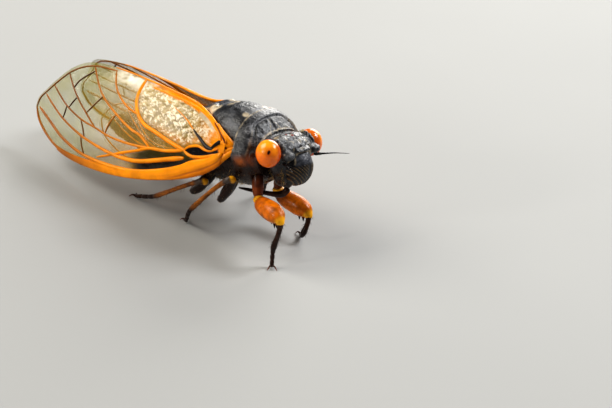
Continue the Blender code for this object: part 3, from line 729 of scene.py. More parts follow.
def make_eyes(paint):
    """Both eyes, each with a dark spot where it is aimed."""
    for name, side in SIDES.items():
        centre = Vector((EYE_CENTRE.x, EYE_CENTRE.y * side, EYE_CENTRE.z))
        if name == "left":
            centre += FAR_EYE_SHIFT
        aim = Vector((PUPIL_AIM.x, PUPIL_AIM.y * side, PUPIL_AIM.z))
        across = aim.cross(Vector((0.5, 0, 1))).normalized()

        def eye_colour(p):
            out = Vector([(p[k] - centre[k]) / EYE_RADII[k] for k in range(3)]).normalized()
            # Painted highlight: lighter orange toward the top of the eye.
            colour = mix(EYE_ORANGE, EYE_TOP_HIGHLIGHT, smooth(-0.3, 0.9, out.z))
            colour = mix(colour, EYE_RED, 0.7 * smooth(0.25, -0.1, out.y * side))
            wide = (out - aim).dot(across) * PUPIL_STRETCH
            reach = math.hypot(wide, (out - aim - across * wide / PUPIL_STRETCH).length)
            colour = mix(colour, EYE_RED, 0.75 * bump(reach, PUPIL_SPREAD * 3))
            return mix(PUPIL_BLACK, colour, smooth(PUPIL_SPREAD * 0.75, PUPIL_SPREAD * 1.15, reach))

        bm = bmesh.new()
        add_ball(bm, centre, EYE_RADII, 128, 96)
        painted(bm, eye_colour)
        finish(f"eye_skin_{name}", bm, paint, [f"eye_{name}"], WORLD_FROM_HEAD)


# The three small simple eyes on the crown: centre and radius
OCELLI = [((-1.7, 0, 1.22), 0.17), ((-2.15, -0.42, 1.26), 0.16), ((-2.15, 0.42, 1.26), 0.16)]


def make_ocelli(paint):
    bm = bmesh.new()
    for centre, radius in OCELLI:
        add_ball(bm, centre, (radius, radius, radius), 20, 14)
    painted(bm, lambda p: OCELLUS_RED)
    finish("ocelli", bm, paint, [], WORLD_FROM_HEAD)


ANTENNA = [(-0.75, 2.55, -1.0), (0.05, 3.2, -0.95), (0.95, 3.9, -0.9), (2.0, 4.7, -0.95)]
ANTENNA_RINGS = 9
ANTENNA_RADII = [(0.0, 0.18), (0.12, 0.17), (0.2, 0.13), (0.3, 0.09), (0.6, 0.055), (1.0, 0.02)]


def make_antennae(shell):
    """Two thick base rings, then a fine bristle in short joints."""
    for name, side in SIDES.items():
        line = smooth_line([(x, y * side, z) for x, y, z in ANTENNA], 0.05)
        path = []
        for k, p in enumerate(line):
            share = k / (len(line) - 1)
            ring = 1 - 0.16 * (abs(math.sin(share * math.pi * ANTENNA_RINGS)) < 0.25)
            path.append((p, along(ANTENNA_RADII, share)[0] * ring, BLACK))
        bm = strands([domed(path)], 12)
        finish(f"feeler_{name}", bm, shell, [f"antenna_{name}"], WORLD_FROM_HEAD)


ROSTRUM = [(-2.4, 0, -4.6), (-2.9, 0, -5.05), (-3.8, 0, -5.25), (-5.5, 0, -5.35), (-8.6, 0, -5.4)]
ROSTRUM_RADII = [(0.0, 0.36), (0.2, 0.32), (0.4, 0.25), (0.7, 0.2), (1.0, 0.08)]


def make_rostrum(paint):
    """The thin beak, folded back under the body."""
    line = smooth_line(ROSTRUM, 0.15)
    colour = mix(DEEP_BROWN, RUST, 0.08)
    path = [(p, along(ROSTRUM_RADII, k / (len(line) - 1))[0], colour) for k, p in enumerate(line)]
    bm = strands([domed(path)], 16)
    finish("beak", bm, paint, ["rostrum"], WORLD_FROM_HEAD)


# Thorax and abdomen


COLLAR_LENGTH = 0.9
COLLAR_RISE = 0.16
COLLAR_FLARE = 0.7
SHELF_HEIGHT = -0.4
SHELF_RISE = 0.28


def collar_edge(p):
    """Where the collar starts: it is longer on both sides than on the back."""
    return PROTHORAX_END + COLLAR_LENGTH + COLLAR_FLARE * smooth(1.8, 3.4, abs(p.y))


def off_grooves(p):
    """How far a point of the pronotum lies from its inner and from its outer slanting groove."""
    share = (p.x - PROTHORAX_END) / (PROTHORAX_FRONT - PROTHORAX_END)
    return abs(p.y) - (0.9 + 2.3 * share), abs(p.y) - (2.35 + 1.1 * share)


def plate_crease(p):
    """The fine wrinkles of the pronotum, which also carry its dust and painted highlights."""
    return crease(p + Vector((0, 7, 0)), 0.7)


def pronotum_relief(p):
    """Collar, side shelf, grooves and wrinkles of the first plate."""
    edge = collar_edge(p)
    ahead = smooth(edge + 0.05, edge + 0.3, p.x)
    rise = COLLAR_RISE * smooth(edge + 0.06, edge - 0.06, p.x) - 0.1 * bump(p.x - edge - 0.1, 0.16)
    rise += SHELF_RISE * bump(p.z - SHELF_HEIGHT, 1.0)
    if p.z > SHELF_HEIGHT:
        inner, outer = off_grooves(p)
        rise -= 0.13 * bump(p.y, 0.22) * ahead - 0.05 * bump(abs(p.y) - 0.36, 0.25) * ahead
        rise -= 0.17 * bump(inner, 0.34) * ahead
        rise -= 0.15 * bump(outer, 0.3) * ahead
    rise += (0.07 * crease(p, 1.4) + 0.03 * plate_crease(p)) * (0.25 + 0.75 * ahead)
    return rise + 0.006 * ripple(p, 0.25) - 0.05


def thorax_colour(p):
    """Black, with painted shade that makes it dark brown below, and a rusty patch behind each eye."""
    colour = mix(CHARCOAL, BLACK, smooth(-0.5, 0.6, ripple(p, 0.9)))
    # Painted shade: dark brown toward the bottom.
    colour = mix(colour, DEEP_BROWN, smooth(-0.1, -1.0, p.z))
    patch = bump(p.x + 4.9, 1.3) * bump(p.z + 0.7, 0.9) * smooth(2.5, 3.5, abs(p.y))
    return mix(colour, PATCH_RUST, patch * (0.75 + 0.25 * ripple(p, 0.5)))


def pronotum_colour(p):
    """Painted shade in its grooves, dust and painted highlights on its wrinkles, and worn pale along its
    edges and its middle fork.
    """
    edge = collar_edge(p)
    inner, outer = off_grooves(p)
    # Painted shade along the two slanting grooves.
    groove_shade = max(bump(inner, 0.16), bump(outer, 0.16)) * smooth(edge, edge + 0.3, p.x)
    groove_shade *= smooth(-0.2, 0.6, p.z)
    colour = mix(thorax_colour(p), GROOVE_SHADE_BLACK, 0.85 * groove_shade)
    # Pale dust and painted highlights on the crests of the fine wrinkles, on top.
    colour = mix(colour, DUST_AND_GLINT, 0.3 * smooth(0.7, 0.97, plate_crease(p)) * smooth(0.0, 1.2, p.z))
    lip = bump(p.x + 6.05, 0.14) * smooth(-0.5, 1.0, p.z)
    front = bump(p.x + 3.95, 0.12) * smooth(-0.2, 0.6, p.z)
    fork = bump(abs(p.y) - max(0.08, 1.08 * (p.x + 4.77)), 0.1)
    fork *= smooth(-5.1, -4.8, p.x) * smooth(0.9, 1.3, p.z)
    flank = bump(p.x - edge + 0.06, 0.1) * smooth(2.0, 3.0, abs(p.y)) * smooth(-0.4, 0.4, p.z)
    worn = max(0.55 * lip, 0.7 * front, 0.6 * fork, 0.5 * flank)
    return mix(colour, CREAM, worn * min(1.0, max(0.0, 0.6 + 0.9 * ripple(p, 0.5))))


def make_pronotum(shell):
    """The first plate, from under the head's hind rim to over the shield's front edge."""
    front, back = PROTHORAX_FRONT + 0.25, PROTHORAX_END - 0.05

    def place(s, t):
        angle = 2 * math.pi * t
        x = front + (back - front) * (0.5 - 0.5 * math.cos(math.pi * s))
        p = trunk_point(x, angle)
        tuck = 0.5 * smooth(0.06, 0.0, s) + 0.12 * smooth(0.96, 1.0, s)
        return trunk_point(x, angle, 0.1 + pronotum_relief(p) - tuck)

    bm = body_grid(70, 400, place)
    painted(bm, pronotum_colour)
    finish("pronotum", bm, shell, ["prothorax"])


# The shield's raised cross, its grooves and its side edge, as x and distance from the middle
CROSS_CENTRE = (-12.35, 0.0)
CROSS_ARMS = [(-11.1, 1.3), (-13.1, 1.1)]
CROSS_RISE = 0.24
PARAPSIDAL = [(-6.4, 1.1), (-9.0, 1.5), (-10.6, 0.9)]
OUTER_GROOVE = [(-6.5, 2.6), (-8.4, 2.5), (-10.4, 1.9)]
SHIELD = [(-13.4, 0.95), (-12.5, 1.1), (-11.6, 1.5), (-10.5, 2.2), (-9.0, 3.0), (-7.5, 3.7), (-6.2, 4.3)]
SHIELD_STEP = 0.85
SHIELD_SLOPE = 0.6


def off_line(p, line):
    """How far a point of the back lies from a line that is there on both its sides."""
    return distance_to_line(Vector((p.x, abs(p.y))), [Vector(q) for q in line])


def mesonotum_relief(p):
    """The raised shield with its cross, its grooves and its fine wrinkles."""
    fine = 0.03 * ripple(p, 0.7) + 0.012 * ripple(p, 0.2)
    if p.z < 0:
        return fine
    rise = -0.10 * bump(off_line(p, PARAPSIDAL), 0.3) - 0.06 * bump(off_line(p, OUTER_GROOVE), 0.3)
    for arm in CROSS_ARMS:
        rise = max(rise, CROSS_RISE * bump(off_line(p, [CROSS_CENTRE, arm]), 0.6))
    beyond = smooth(0.0, SHIELD_SLOPE, abs(p.y) - along(SHIELD, p.x)[0])
    return rise * (1 - beyond) - SHIELD_STEP * beyond * min(p.z, 1.0) + fine


# Pale marks on both sides of the shield, the one at x -6.65 a painted highlight: x, distance from the middle,
# size, strength
PALE_SPOTS_AND_HIGHLIGHT = [
    (-11.2, 1.75, 0.95, 1.0),
    (-10.7, 1.25, 0.6, 0.9),
    (-12.2, 1.4, 0.7, 0.9),
    (-12.9, 1.3, 0.5, 0.7),
    (-6.65, 1.5, 0.45, 0.6),
    (-9.6, 0.45, 0.5, 0.6),
]


def mesonotum_colour(p):
    """The thorax's black with a painted bluish sheen on top in places, and the pale spots, one of which is a
    painted highlight.
    """
    above = smooth(1.0, 2.0, p.z)
    # Painted sheen: bluish grey in places on top.
    painted_sheen = smooth(0.0, 0.7, ripple(p + Vector((3, 1, 0)), 1.8))
    colour = mix(thorax_colour(p), PAINTED_SHEEN_GREY, 0.6 * painted_sheen * above)
    spots_and_highlight = 0.0
    # Pale spots, one of which is a painted highlight.
    for x, y, size, strength in PALE_SPOTS_AND_HIGHLIGHT:
        spots_and_highlight = max(spots_and_highlight, strength * smooth(size, size * 0.5, math.hypot(p.x - x, abs(p.y) - y)))
    return mix(colour, CREAM, spots_and_highlight * above * (0.8 + 0.3 * ripple(p, 0.4)))


def make_mesonotum(shell):
    """The humped shield, with the sides and the underside of its ring."""
    front, back = PROTHORAX_END + 0.25, MESOTHORAX_END - 0.15

    def place(s, t):
        angle = 2 * math.pi * t
        x = front + (back - front) * s
        p = trunk_point(x, angle)
        tuck = 0.25 * smooth(0.05, 0.0, s)
        return trunk_point(x, angle, mesonotum_relief(p) - tuck)

    bm = body_grid(120, 400, place)
    painted(bm, mesonotum_colour)
    finish("mesonotum", bm, shell, ["mesothorax"])


RING_LENGTH = (MESOTHORAX_END - ABDOMEN_END) / SEGMENTS
RING_STEP = 0.17
SIDE_FOLD = 0.12


def ring_share(x):
    """How far back a place lies on its ring of the abdomen, from 0 to 1."""
    return ((MESOTHORAX_END - x) / RING_LENGTH) % 1.0


def abdomen_relief(x, angle):
    """Each ring flares to its hind edge and steps in, with a fold line low on its side."""
    step = RING_STEP * ring_share(x) * smooth(1.0, 0.94, ring_share(x))
    fold = SIDE_FOLD * bump(math.sin(angle) + 0.62, 0.12)
    return step - fold + 0.025 * ripple(trunk_point(x, angle), 0.5)


def abdomen_colour(p):
    """Black rings with tan hind edges, which are brighter below."""
    colour = mix(CHARCOAL, BLACK, smooth(-0.5, 0.6, ripple(p, 0.8)))
    below = smooth(-1.6, -2.6, p.z)
    hem = smooth(0.78, 0.95, ring_share(p.x)) * smooth(-26.4, -25.9, p.x)
    return mix(colour, RING_TAN, hem * (0.25 + 0.55 * below))


def make_abdomen(shell):
    front, back = MESOTHORAX_END + 0.1, TRUNK[0][0]

    def place(s, t):
        angle = 2 * math.pi * t
        x = front + (back - front) * s
        tuck = 0.3 * smooth(0.03, 0.0, s)
        return trunk_point(x, angle, abdomen_relief(x, angle) - tuck)

    bm = body_grid(240, 160, place)
    painted(bm, abdomen_colour)
    finish("abdomen_skin", bm, shell, ["abdomen", "tail_tip"])


# Wings


def hind_margin(u, inset=0.0):
    """The wing's hind margin, which lies along the shield and then the ridge."""
    return sheet_width(u) - RIDGE_INSET * min(u / 8, 1.0) - inset


# Outlines of the wings in their plan: distance from the root, then distance from the front edge
FOREWING_REACH = 29.3
HINDWING_FROM, HINDWING_REACH = 3.6, 18.85
TIP_V = 3.4
TIP_LOW = [(17.0, 0.0), (20.0, 0.05), (23.0, 0.1), (25.4, 0.35), (27.3, 0.95), (28.7, 2.0), (29.3, TIP_V)]
TIP_HIGH = [(16.0, 11.5), (18.5, 11.65), (21.0, 11.55), (23.3, 10.9), (25.0, 9.5), (26.3, 7.8), (27.6, 6.1),
            (28.9, 4.5), (29.3, TIP_V)]
ROOT_LOW = [(0.0, 0.9), (0.4, 0.25), (1.2, 0.0)]
HINDWING_LOW = [(3.5, 2.1), (5.5, 1.5), (8.0, 1.35), (11.0, 1.35), (14.0, 1.75), (16.8, 2.85), (18.6, 4.6),
                (18.9, 6.0)]
HINDWING_HIGH = [(3.5, 2.7), (5.5, 3.25), (8.0, 3.65), (10.8, 4.4), (12.8, 6.0), (14.2, 7.8), (15.8, 8.5),
                 (17.6, 7.8), (18.9, 6.0)]


def forewing_low(u):
    """The front edge of the forewing."""
    return along(ROOT_LOW, u)[0] if u < ROOT_LOW[-1][0] else along(TIP_LOW, u)[0]


def forewing_high(u):
    """The hind edge of the forewing, which leaves the ridge toward the tip."""
    blend = smooth(15.0, 17.5, u)
    return hind_margin(max(u, 0.2)) * (1 - blend) + along(TIP_HIGH, u)[0] * blend


def hindwing_low(u):
    return along(HINDWING_LOW, u)[0]


def hindwing_high(u):
    return along(HINDWING_HIGH, u)[0]


CELL_FLOOR = [(0.7, 1.25), (2.4, 1.75), (4.1, 2.15), (5.0, 2.6), (5.5, 3.0)]
CELL_ROOF = [(0.9, 1.9), (1.9, 2.15), (2.7, 2.6), (3.6, 3.15), (4.8, 3.3), (5.5, 3.0)]
MARGIN_STEPS = (0.6, 1.2, 2.0, 3.2, 4.6, 6.2, 8.0, 10.5, 13.5, 16.5, 19.0)

# Forewing veins: radius at the root end, radius at the far end, darkness, line in the wing's plan
FOREWING_VEINS = {
    "costa": (0.20, 0.17, 0.0, [
        (20.5, 0.32), (23.0, 0.42), (25.4, 0.65), (27.2, 1.25), (28.5, 2.2), (29.05, 3.4),
    ]),
    "radius": (0.26, 0.18, 0.0, [
        (12.5, 0.75), (14.5, 0.86), (16.1, 0.95), (18.0, 1.1), (20.5, 1.4), (23.5, 2.05), (26.3, 3.0),
        (28.4, 3.6),
    ]),
    "ambient": (0.11, 0.12, 0.45, [
        (29.05, 3.4), (28.55, 4.6), (27.4, 5.9), (26.1, 7.5), (24.8, 9.1), (23.1, 10.4), (21.0, 11.1),
        (18.5, 11.25),
    ]),
    "margin": (0.16, 0.10, 0.0, [(u, hind_margin(u, 0.12)) for u in MARGIN_STEPS]),
    "anal": (0.19, 0.11, 0.0, [
        (0.5, 2.2), (1.1, 3.4), (2.0, 4.6), (3.4, 6.1), (5.0, 7.3), (7.0, 8.5), (9.5, 9.4), (13.0, 10.3),
    ]),
    "sector": (0.27, 0.12, 0.0, [
        (5.4, 2.15), (6.8, 2.18), (8.4, 2.1), (11.1, 1.9), (12.9, 1.95), (15.6, 2.3), (20.0, 3.2),
        (24.0, 4.2), (27.6, 5.4),
    ]),
    "medial": (0.19, 0.13, 0.05, [
        (5.5, 3.0), (8.0, 3.05), (10.1, 3.3), (11.4, 3.05), (14.0, 2.5), (17.4, 1.5),
    ]),
    "medial_far": (0.14, 0.12, 0.35, [
        (10.1, 3.3), (13.0, 3.6), (16.0, 4.0), (18.2, 4.5), (20.6, 4.9), (23.4, 5.6), (26.6, 6.8),
    ]),
    "medial_low": (0.13, 0.11, 0.45, [(18.2, 4.5), (20.0, 5.7), (22.2, 7.0), (25.0, 8.9)]),
    "fork": (0.15, 0.12, 0.3, [
        (10.1, 3.3), (10.8, 3.9), (12.0, 4.7), (13.1, 5.1), (15.5, 6.3), (18.6, 8.1), (21.7, 10.8),
    ]),
    "cubital": (0.24, 0.17, 0.0, [
        (5.5, 3.0), (7.8, 4.0), (10.1, 5.1), (11.6, 5.75), (12.6, 6.5), (13.5, 7.5), (14.2, 9.0),
        (14.5, 11.1),
    ]),
    "cubital_low": (0.13, 0.11, 0.35, [(12.9, 6.8), (15.0, 7.6), (17.2, 9.2), (18.6, 11.2)]),
    "cell_floor": (0.17, 0.17, 0.1, CELL_FLOOR),
    "cell_roof": (0.15, 0.15, 0.1, CELL_ROOF),
    "claval": (0.27, 0.09, 1.0, [(1.6, 2.15), (2.4, 2.75), (3.7, 4.0), (5.2, 5.25)]),
    "claval_far": (0.09, 0.05, 0.7, [(5.2, 5.25), (6.6, 6.35), (8.4, 7.6), (10.6, 9.0)]),
    "cross_radial": (0.11, 0.11, 0.75, [(19.4, 1.15), (19.9, 2.1), (20.2, 3.2)]),
    "cross_front": (0.11, 0.11, 0.8, [(19.6, 3.15), (20.0, 4.0), (20.6, 4.9)]),
    "cross_outer": (0.12, 0.12, 0.95, [(23.7, 4.1), (23.5, 4.8), (23.4, 5.55)]),
    "cross_middle": (0.11, 0.11, 0.6, [(16.6, 4.15), (16.3, 5.3), (15.8, 6.4)]),
    "cross_hind": (0.11, 0.11, 0.8, [(18.4, 8.0), (19.2, 6.8), (20.0, 5.7)]),
    "cross_tip": (0.12, 0.12, 0.95, [(22.1, 6.95), (22.6, 6.2), (23.0, 5.5)]),
    "cross_low": (0.12, 0.12, 0.9, [(23.2, 7.6), (22.8, 8.7), (21.3, 10.4)]),
}
HINDWING_VEINS = {
    "front": (0.13, 0.08, 0.1, [
        (3.8, 2.3), (6.0, 1.75), (9.0, 1.6), (12.0, 1.65), (15.0, 2.4), (17.6, 3.9), (18.6, 5.6),
    ]),
    "middle": (0.10, 0.08, 0.2, [(3.9, 2.5), (8.0, 2.75), (12.0, 3.7), (15.0, 5.0), (17.8, 6.6)]),
    "back": (0.10, 0.08, 0.2, [(8.0, 2.85), (11.0, 3.9), (13.6, 5.9), (15.7, 7.8)]),
    "rim": (0.07, 0.07, 0.2, [
        (18.6, 5.6), (17.6, 7.5), (15.8, 8.2), (14.4, 7.6), (12.9, 5.8), (10.8, 4.2), (8.0, 3.5),
        (4.6, 2.95),
    ]),
}

# Fields of the forewing's film: black cell at the root, crinkled gold field of painted glare and dark strip
# of painted shade in front
BASAL_CELL = [(0.7, 1.4)] + CELL_FLOOR[1:] + CELL_ROOF[-2::-1]
GOLD_FIELD = [
    (5.6, 3.2), (7.8, 4.1), (10.1, 5.2), (11.6, 5.85), (12.6, 6.6), (13.4, 7.6), (14.1, 9.0), (14.4, 11.2),
    (10.5, 10.2), (8.0, 9.2), (6.0, 8.1), (4.0, 6.8), (2.6, 5.4), (1.4, 3.9), (1.9, 2.6), (3.3, 3.3),
    (4.8, 3.45),
]
SHADED_CELLS = [
    (3.0, 1.4), (5.2, 1.2), (8.3, 0.9), (11.0, 0.8), (13.0, 0.9), (13.6, 1.6), (13.2, 2.6), (11.4, 3.0),
    (10.0, 3.3), (8.0, 3.1), (5.8, 3.0), (5.0, 2.6), (4.1, 2.1),
]
FIELDS = {
    "gold": [Vector(p) for p in GOLD_FIELD],
    "root": [Vector(p) for p in BASAL_CELL],
    "dark": [Vector(p) for p in SHADED_CELLS],
}
HINDWING_FILM = (FILM_CLEAR, 0.10)
FILM_THICK = 0.03
CRUMPLE = 0.05
CRINKLE = 0.06


def off_field(u, v, field):
    """How far a place of the plan lies inside one of the fields, below 0 outside it."""
    return distance_inside(Vector((u, v)), FIELDS[field])


def gold_share(u, v):
    """1 inside the crinkled gold field behind the curved cubital vein, 0 outside it."""
    return smooth(-0.1, 0.5, off_field(u, v, "gold"))


def crinkle(u, v):
    """The sharp folds of the gold field, 1 on their crests."""
    return crease(Vector((u, v * 1.5, 4)), 0.8, 3)


def laid_over(film, tint, cover, share):
    """A film's (tint, cover), moved by this share toward another tint and cover."""
    return mix(film[0], tint, share), film[1] + (cover - film[1]) * share


def gold_tint(u, v, crest):
    """Painted glare: amber to gold, with painted highlights on its crests and painted shade in its hollows,
    and orange at its root and its front.
    """
    q = Vector((u, v * 1.5, 4))
    tint = mix(FILM_AMBER, FILM_GOLD, smooth(-0.5, 0.3, ripple(q, 1.0)))
    # Painted highlights on the crests.
    tint = mix(tint, FILM_CREST_HIGHLIGHT, crest)
    # Painted shade in the hollows.
    shade = smooth(0.0, 0.4, ripple(q + Vector((9, 0, 0)), 0.55)) * (1 - crest)
    tint = mix(tint, FILM_HOLLOW_SHADE, shade * (0.85 - 0.5 * smooth(4.0, 12.0, u)))
    rim = smooth(1.3, 0.2, off_field(u, v, "gold")) * smooth(7.0, 4.0, v)
    return mix(tint, VEIN_ORANGE, max(0.6 * smooth(6.0, 2.5, u), 0.6 * rim) * (1 - crest))


def film_of_forewing(u, v):
    """Tint and cover of the forewing's film at a place in its plan."""
    q = Vector((u, v * 1.5, 4))
    edge = hind_margin(max(u, 0.2)) - v
    film = (mix(FILM_CLEAR, FILM_OLIVE, smooth(12.0, 22.0, u)), 0.30 + 0.08 * ripple(q, 3.0))
    # Painted glare along the ridge.
    ridge_glare = smooth(2.4, 0.8, edge) * smooth(8.0, 11.0, u) * smooth(21.0, 16.0, u)
    ridge_glare *= smooth(-0.5, 0.2, ripple(q + Vector((2, 5, 0)), 1.5))
    film = laid_over(film, FILM_RIDGE_GLARE, 0.9, ridge_glare)
    # The gold field is painted glare, with more cover on its crests.
    gold = gold_share(u, v)
    crest = smooth(0.5, 1.0, crinkle(u, v))
    film = (mix(film[0], gold_tint(u, v, crest), gold), film[1] + (0.42 + 0.3 * crest) * gold)
    # Painted shade: the near-opaque dark strip of cells in front.
    shade_strip = smooth(-0.15, 0.3, off_field(u, v, "dark")) * smooth(13.6, 11.0, u)
    upper = smooth(1.7, 2.1, v)
    film = laid_over(film, mix(FILM_SHADE_SMOKE, FILM_SHADE_DUSK, upper), 0.96 - 0.12 * upper, shade_strip)
    pale = smooth(1.15, 0.95, edge) * smooth(1.6, 2.3, u) * smooth(6.2, 5.4, u)
    film = laid_over(film, CREAM, 0.95, pale)
    glow = smooth(3.6, 1.8, u + 0.35 * abs(v - 2.6)) * smooth(5.5, 4.2, v)
    hem = smooth(1.0, 0.8, edge) * max(smooth(2.3, 1.6, u), smooth(5.4, 6.2, u) * smooth(15.0, 10.0, u))
    band = smooth(0.9, 0.7, v) * smooth(24.0, 17.0, u)
    film = laid_over(film, VEIN_ORANGE, 0.93, max(glow, hem, band))
    return laid_over(film, FILM_BLACK, 0.97, smooth(-0.06, 0.04, off_field(u, v, "root")))


def make_film(plan, rows, across, drop, film_at=None):
    """A thin closed pane of wing film with its small folds, for the right side.

    plan is where it starts and ends, its front edge and its hind edge. Without film_at the film is plain.
    """
    start, reach, low, high = plan
    bm = bmesh.new()
    bmesh.ops.create_grid(bm, x_segments=rows, y_segments=across, size=0.5)
    tint_layer = bm.verts.layers.float_color.new("paint")
    cover_layer = bm.verts.layers.float.new("cover")
    for w in bm.verts:
        s = w.co.x + 0.5
        u = start + (reach - start) * (1 - (1 - s) ** 1.5)
        bottom, top = low(u), high(u)
        v = bottom + (top - bottom) * (w.co.y + 0.5)
        tint, cover = film_at(u, v) if film_at else HINDWING_FILM
        w[tint_layer] = (*tint, 1)
        w[cover_layer] = cover
        fold = CRUMPLE * ripple(Vector((u, v * 1.4, 0)), 1.2) + CRINKLE * crinkle(u, v) * gold_share(u, v)
        fold *= min(1.0, (v - bottom) / 0.6, (top - v) / 0.6)
        w.co = sheet_point(u, v) + sheet_normal(u, v) * (fold - drop)
    bmesh.ops.remove_doubles(bm, verts=bm.verts, dist=1e-4)
    bmesh.ops.recalc_face_normals(bm, faces=bm.faces)
    bmesh.ops.solidify(bm, geom=bm.faces[:], thickness=FILM_THICK)
    bmesh.ops.recalc_face_normals(bm, faces=bm.faces)
    return bm


def finish_pair(name, bm, paint, node=None, flat_above=50):
    """Finishes a piece of the right wings and its mirror image on the left."""
    for side_name, side in SIDES.items():
        half = bm.copy()
        if side > 0:
            bmesh.ops.reverse_faces(half, faces=half.faces)
        place = WORLD_FROM_BODY @ Matrix.Diagonal((1, -side, 1, 1))
        nodes = [f"{node}_{side_name}"] if node else []
        finish(f"{name}_{side_name}", half, paint, nodes, place, flat_above)
    bm.free()


VEIN_STEP = 0.3
VEIN_TAPER = 0.8


def vein_colour(u, dark):
    """Orange near the root and browner toward the tip. A vein of darkness 1 is black all along."""
    if dark == 1:
        return VEIN_BLACK
    colour = mix(VEIN_ORANGE, VEIN_BROWN, smooth(13.0, 24.0, u))
    return mix(colour, VEIN_DARK, dark * (0.25 + 0.75 * smooth(8.0, 20.0, u)))


def make_veins(veins, drop):
    """Round veins along the film, finer at both their ends, in one piece for the right side."""
    paths = []
    for near, far, dark, line in veins.values():
        points = smooth_line([Vector(p) for p in line], VEIN_STEP)
        path = []
        for k, p in enumerate(points):
            share = k / (len(points) - 1)
            from_end = min(k, len(points) - 1 - k) * VEIN_STEP / VEIN_TAPER
            radius = (near + (far - near) * share) * min(1.0, 0.6 + 0.4 * from_end)
            radius *= 1 - 0.22 * smooth(12.0, 20.0, p.x)
            place = sheet_point(p.x, p.y) - sheet_normal(p.x, p.y) * drop
            path.append((place, radius, vein_colour(p.x, dark)))
        paths.append(domed(path))
    if not drop:
        paths += wing_hinge()
    return strands(paths, 10)


# The hinge of a forewing: its stalks run from the film into the thorax. Radius at both ends, colour, points
HINGE = [
    (0.42, 0.22, VEIN_ORANGE, [
        (-7.5, -5.0, -0.95), (-6.8, -4.75, -0.4), (-6.2, -4.3, 0.05), (-5.7, -3.6, 0.3),
    ]),
    (0.24, 0.20, VEIN_ORANGE, [(-7.0, -4.75, 0.0), (-6.5, -4.5, 0.25), (-6.0, -4.0, 0.5)]),
    (0.12, 0.34, VEIN_ORANGE, [
        (-8.6, -3.55, 2.3), (-7.6, -4.1, 1.85), (-6.9, -4.3, 1.4), (-6.4, -4.15, 0.8),
    ]),
    (0.22, 0.26, VEIN_ORANGE, [(-7.2, -4.6, 0.95), (-6.75, -4.5, 0.7), (-6.3, -4.1, 0.5)]),
    (0.05, 0.08, GARNET, [(-9.2, -3.4, 2.35), (-8.0, -4.12, 1.9), (-7.2, -4.55, 1.45), (-6.8, -4.68, 1.0)]),
    (0.14, 0.22, BLACK, [(-8.35, -4.98, 0.3), (-7.9, -4.92, 0.66), (-7.5, -4.76, 0.95)]),
]
HINGE_STEP = 0.12


def wing_hinge():
    """The paths of the hinge's stalks."""
    paths = []
    for near, far, colour, line in HINGE:
        points = smooth_line(line, HINGE_STEP)
        step = 1 / (len(points) - 1)
        paths.append(domed([(p, near + (far - near) * k * step, colour) for k, p in enumerate(points)]))
    return paths


# The broad band along the wing's front edge, by distance from the root: its upper edge, half its thickness
# and how far up it the groove lies
VANE_FROM, VANE_TO = 0.15, 25.0
VANE_UPPER = [
    (0.15, 1.35), (1.6, 1.5), (3.0, 1.72), (4.3, 1.77), (5.7, 1.5), (8.3, 1.22), (11.0, 1.05), (13.8, 1.02),
    (16.1, 1.0), (19.0, 0.92), (22.0, 0.75), (25.0, 0.72),
]
VANE_THICK = [(0.15, 0.40), (3.0, 0.36), (8.0, 0.28), (14.0, 0.22), (20.0, 0.18), (25.0, 0.13)]
VANE_GROOVE = [(0.0, 0.5), (7.0, 0.25)]
VANE_END = 0.5


def vane_share(u, v):
    """How far up the band a place lies, 0 at the wing's front edge and 1 at the band's upper edge."""
    low = forewing_low(u)
    return (v - low) / (along(VANE_UPPER, u)[0] - low)


def vane_colour(p):
    """Orange on top and, as painted shade, redder below a thin dark line of painted groove shade that runs
    out from the root.
    """
    u = WING_ROOT_X - p.x
    share = vane_share(u, forewing_low(u) + (p - sheet_point(u, forewing_low(u))).length)
    off = share - along(VANE_GROOVE, u)[0]
    # Painted shade: redder below the groove.
    colour = mix(vein_colour(u, 0.0), VEIN_SHADE_RED, 0.6 * smooth(0.05, -0.2, off) * smooth(18.0, 10.0, u))
    # Painted shade: the thin dark line in the groove.
    return mix(colour, VANE_GROOVE_SHADE, 0.75 * bump(off, 0.09) * smooth(9.0, 5.0, u))


def make_vane():
    """The thick smooth band of the wing's front edge, for the right side."""

    def place(s, t):
        u = VANE_FROM + (VANE_TO - VANE_FROM) * s
        low, high = forewing_low(u) - 0.03, along(VANE_UPPER, u)[0]
        end = min(u - VANE_FROM, VANE_TO - u, VANE_END) / VANE_END
        round_end = math.sqrt(1 - (1 - end) ** 2)
        c, h = math.cos(2 * math.pi * t), math.sin(2 * math.pi * t)
        v = (low + high) / 2 + (high - low) / 2 * round_end * math.copysign(abs(c) ** 0.8, c)
        off = vane_share(u, v) - along(VANE_GROOVE, u)[0]
        rise = along(VANE_THICK, u)[0] * round_end * math.copysign(abs(h) ** 0.75, h)
        if h > 0:
            rise *= 1 - 0.22 * bump(off, 0.14) * smooth(12.0, 6.0, u)
        return sheet_point(u, v) + sheet_normal(u, v) * rise

    bm = body_grid(200, 48, place)
    painted(bm, vane_colour)
    return bm


def make_wings(film, vein_paint):
    fore = (0.0, FOREWING_REACH, forewing_low, forewing_high)
    hind = (HINDWING_FROM, HINDWING_REACH, hindwing_low, hindwing_high)
    finish_pair("forewing_film", make_film(fore, 240, 96, 0.0, film_of_forewing), film, "forewing", 80)
    finish_pair("forewing_veins", make_veins(FOREWING_VEINS, 0.0), vein_paint)
    finish_pair("forewing_vane", make_vane(), vein_paint)
    finish_pair("hindwing_film", make_film(hind, 100, 40, HINDWING_DROP), film, "hindwing", 80)
    finish_pair("hindwing_veins", make_veins(HINDWING_VEINS, HINDWING_DROP), vein_paint)


# Legs


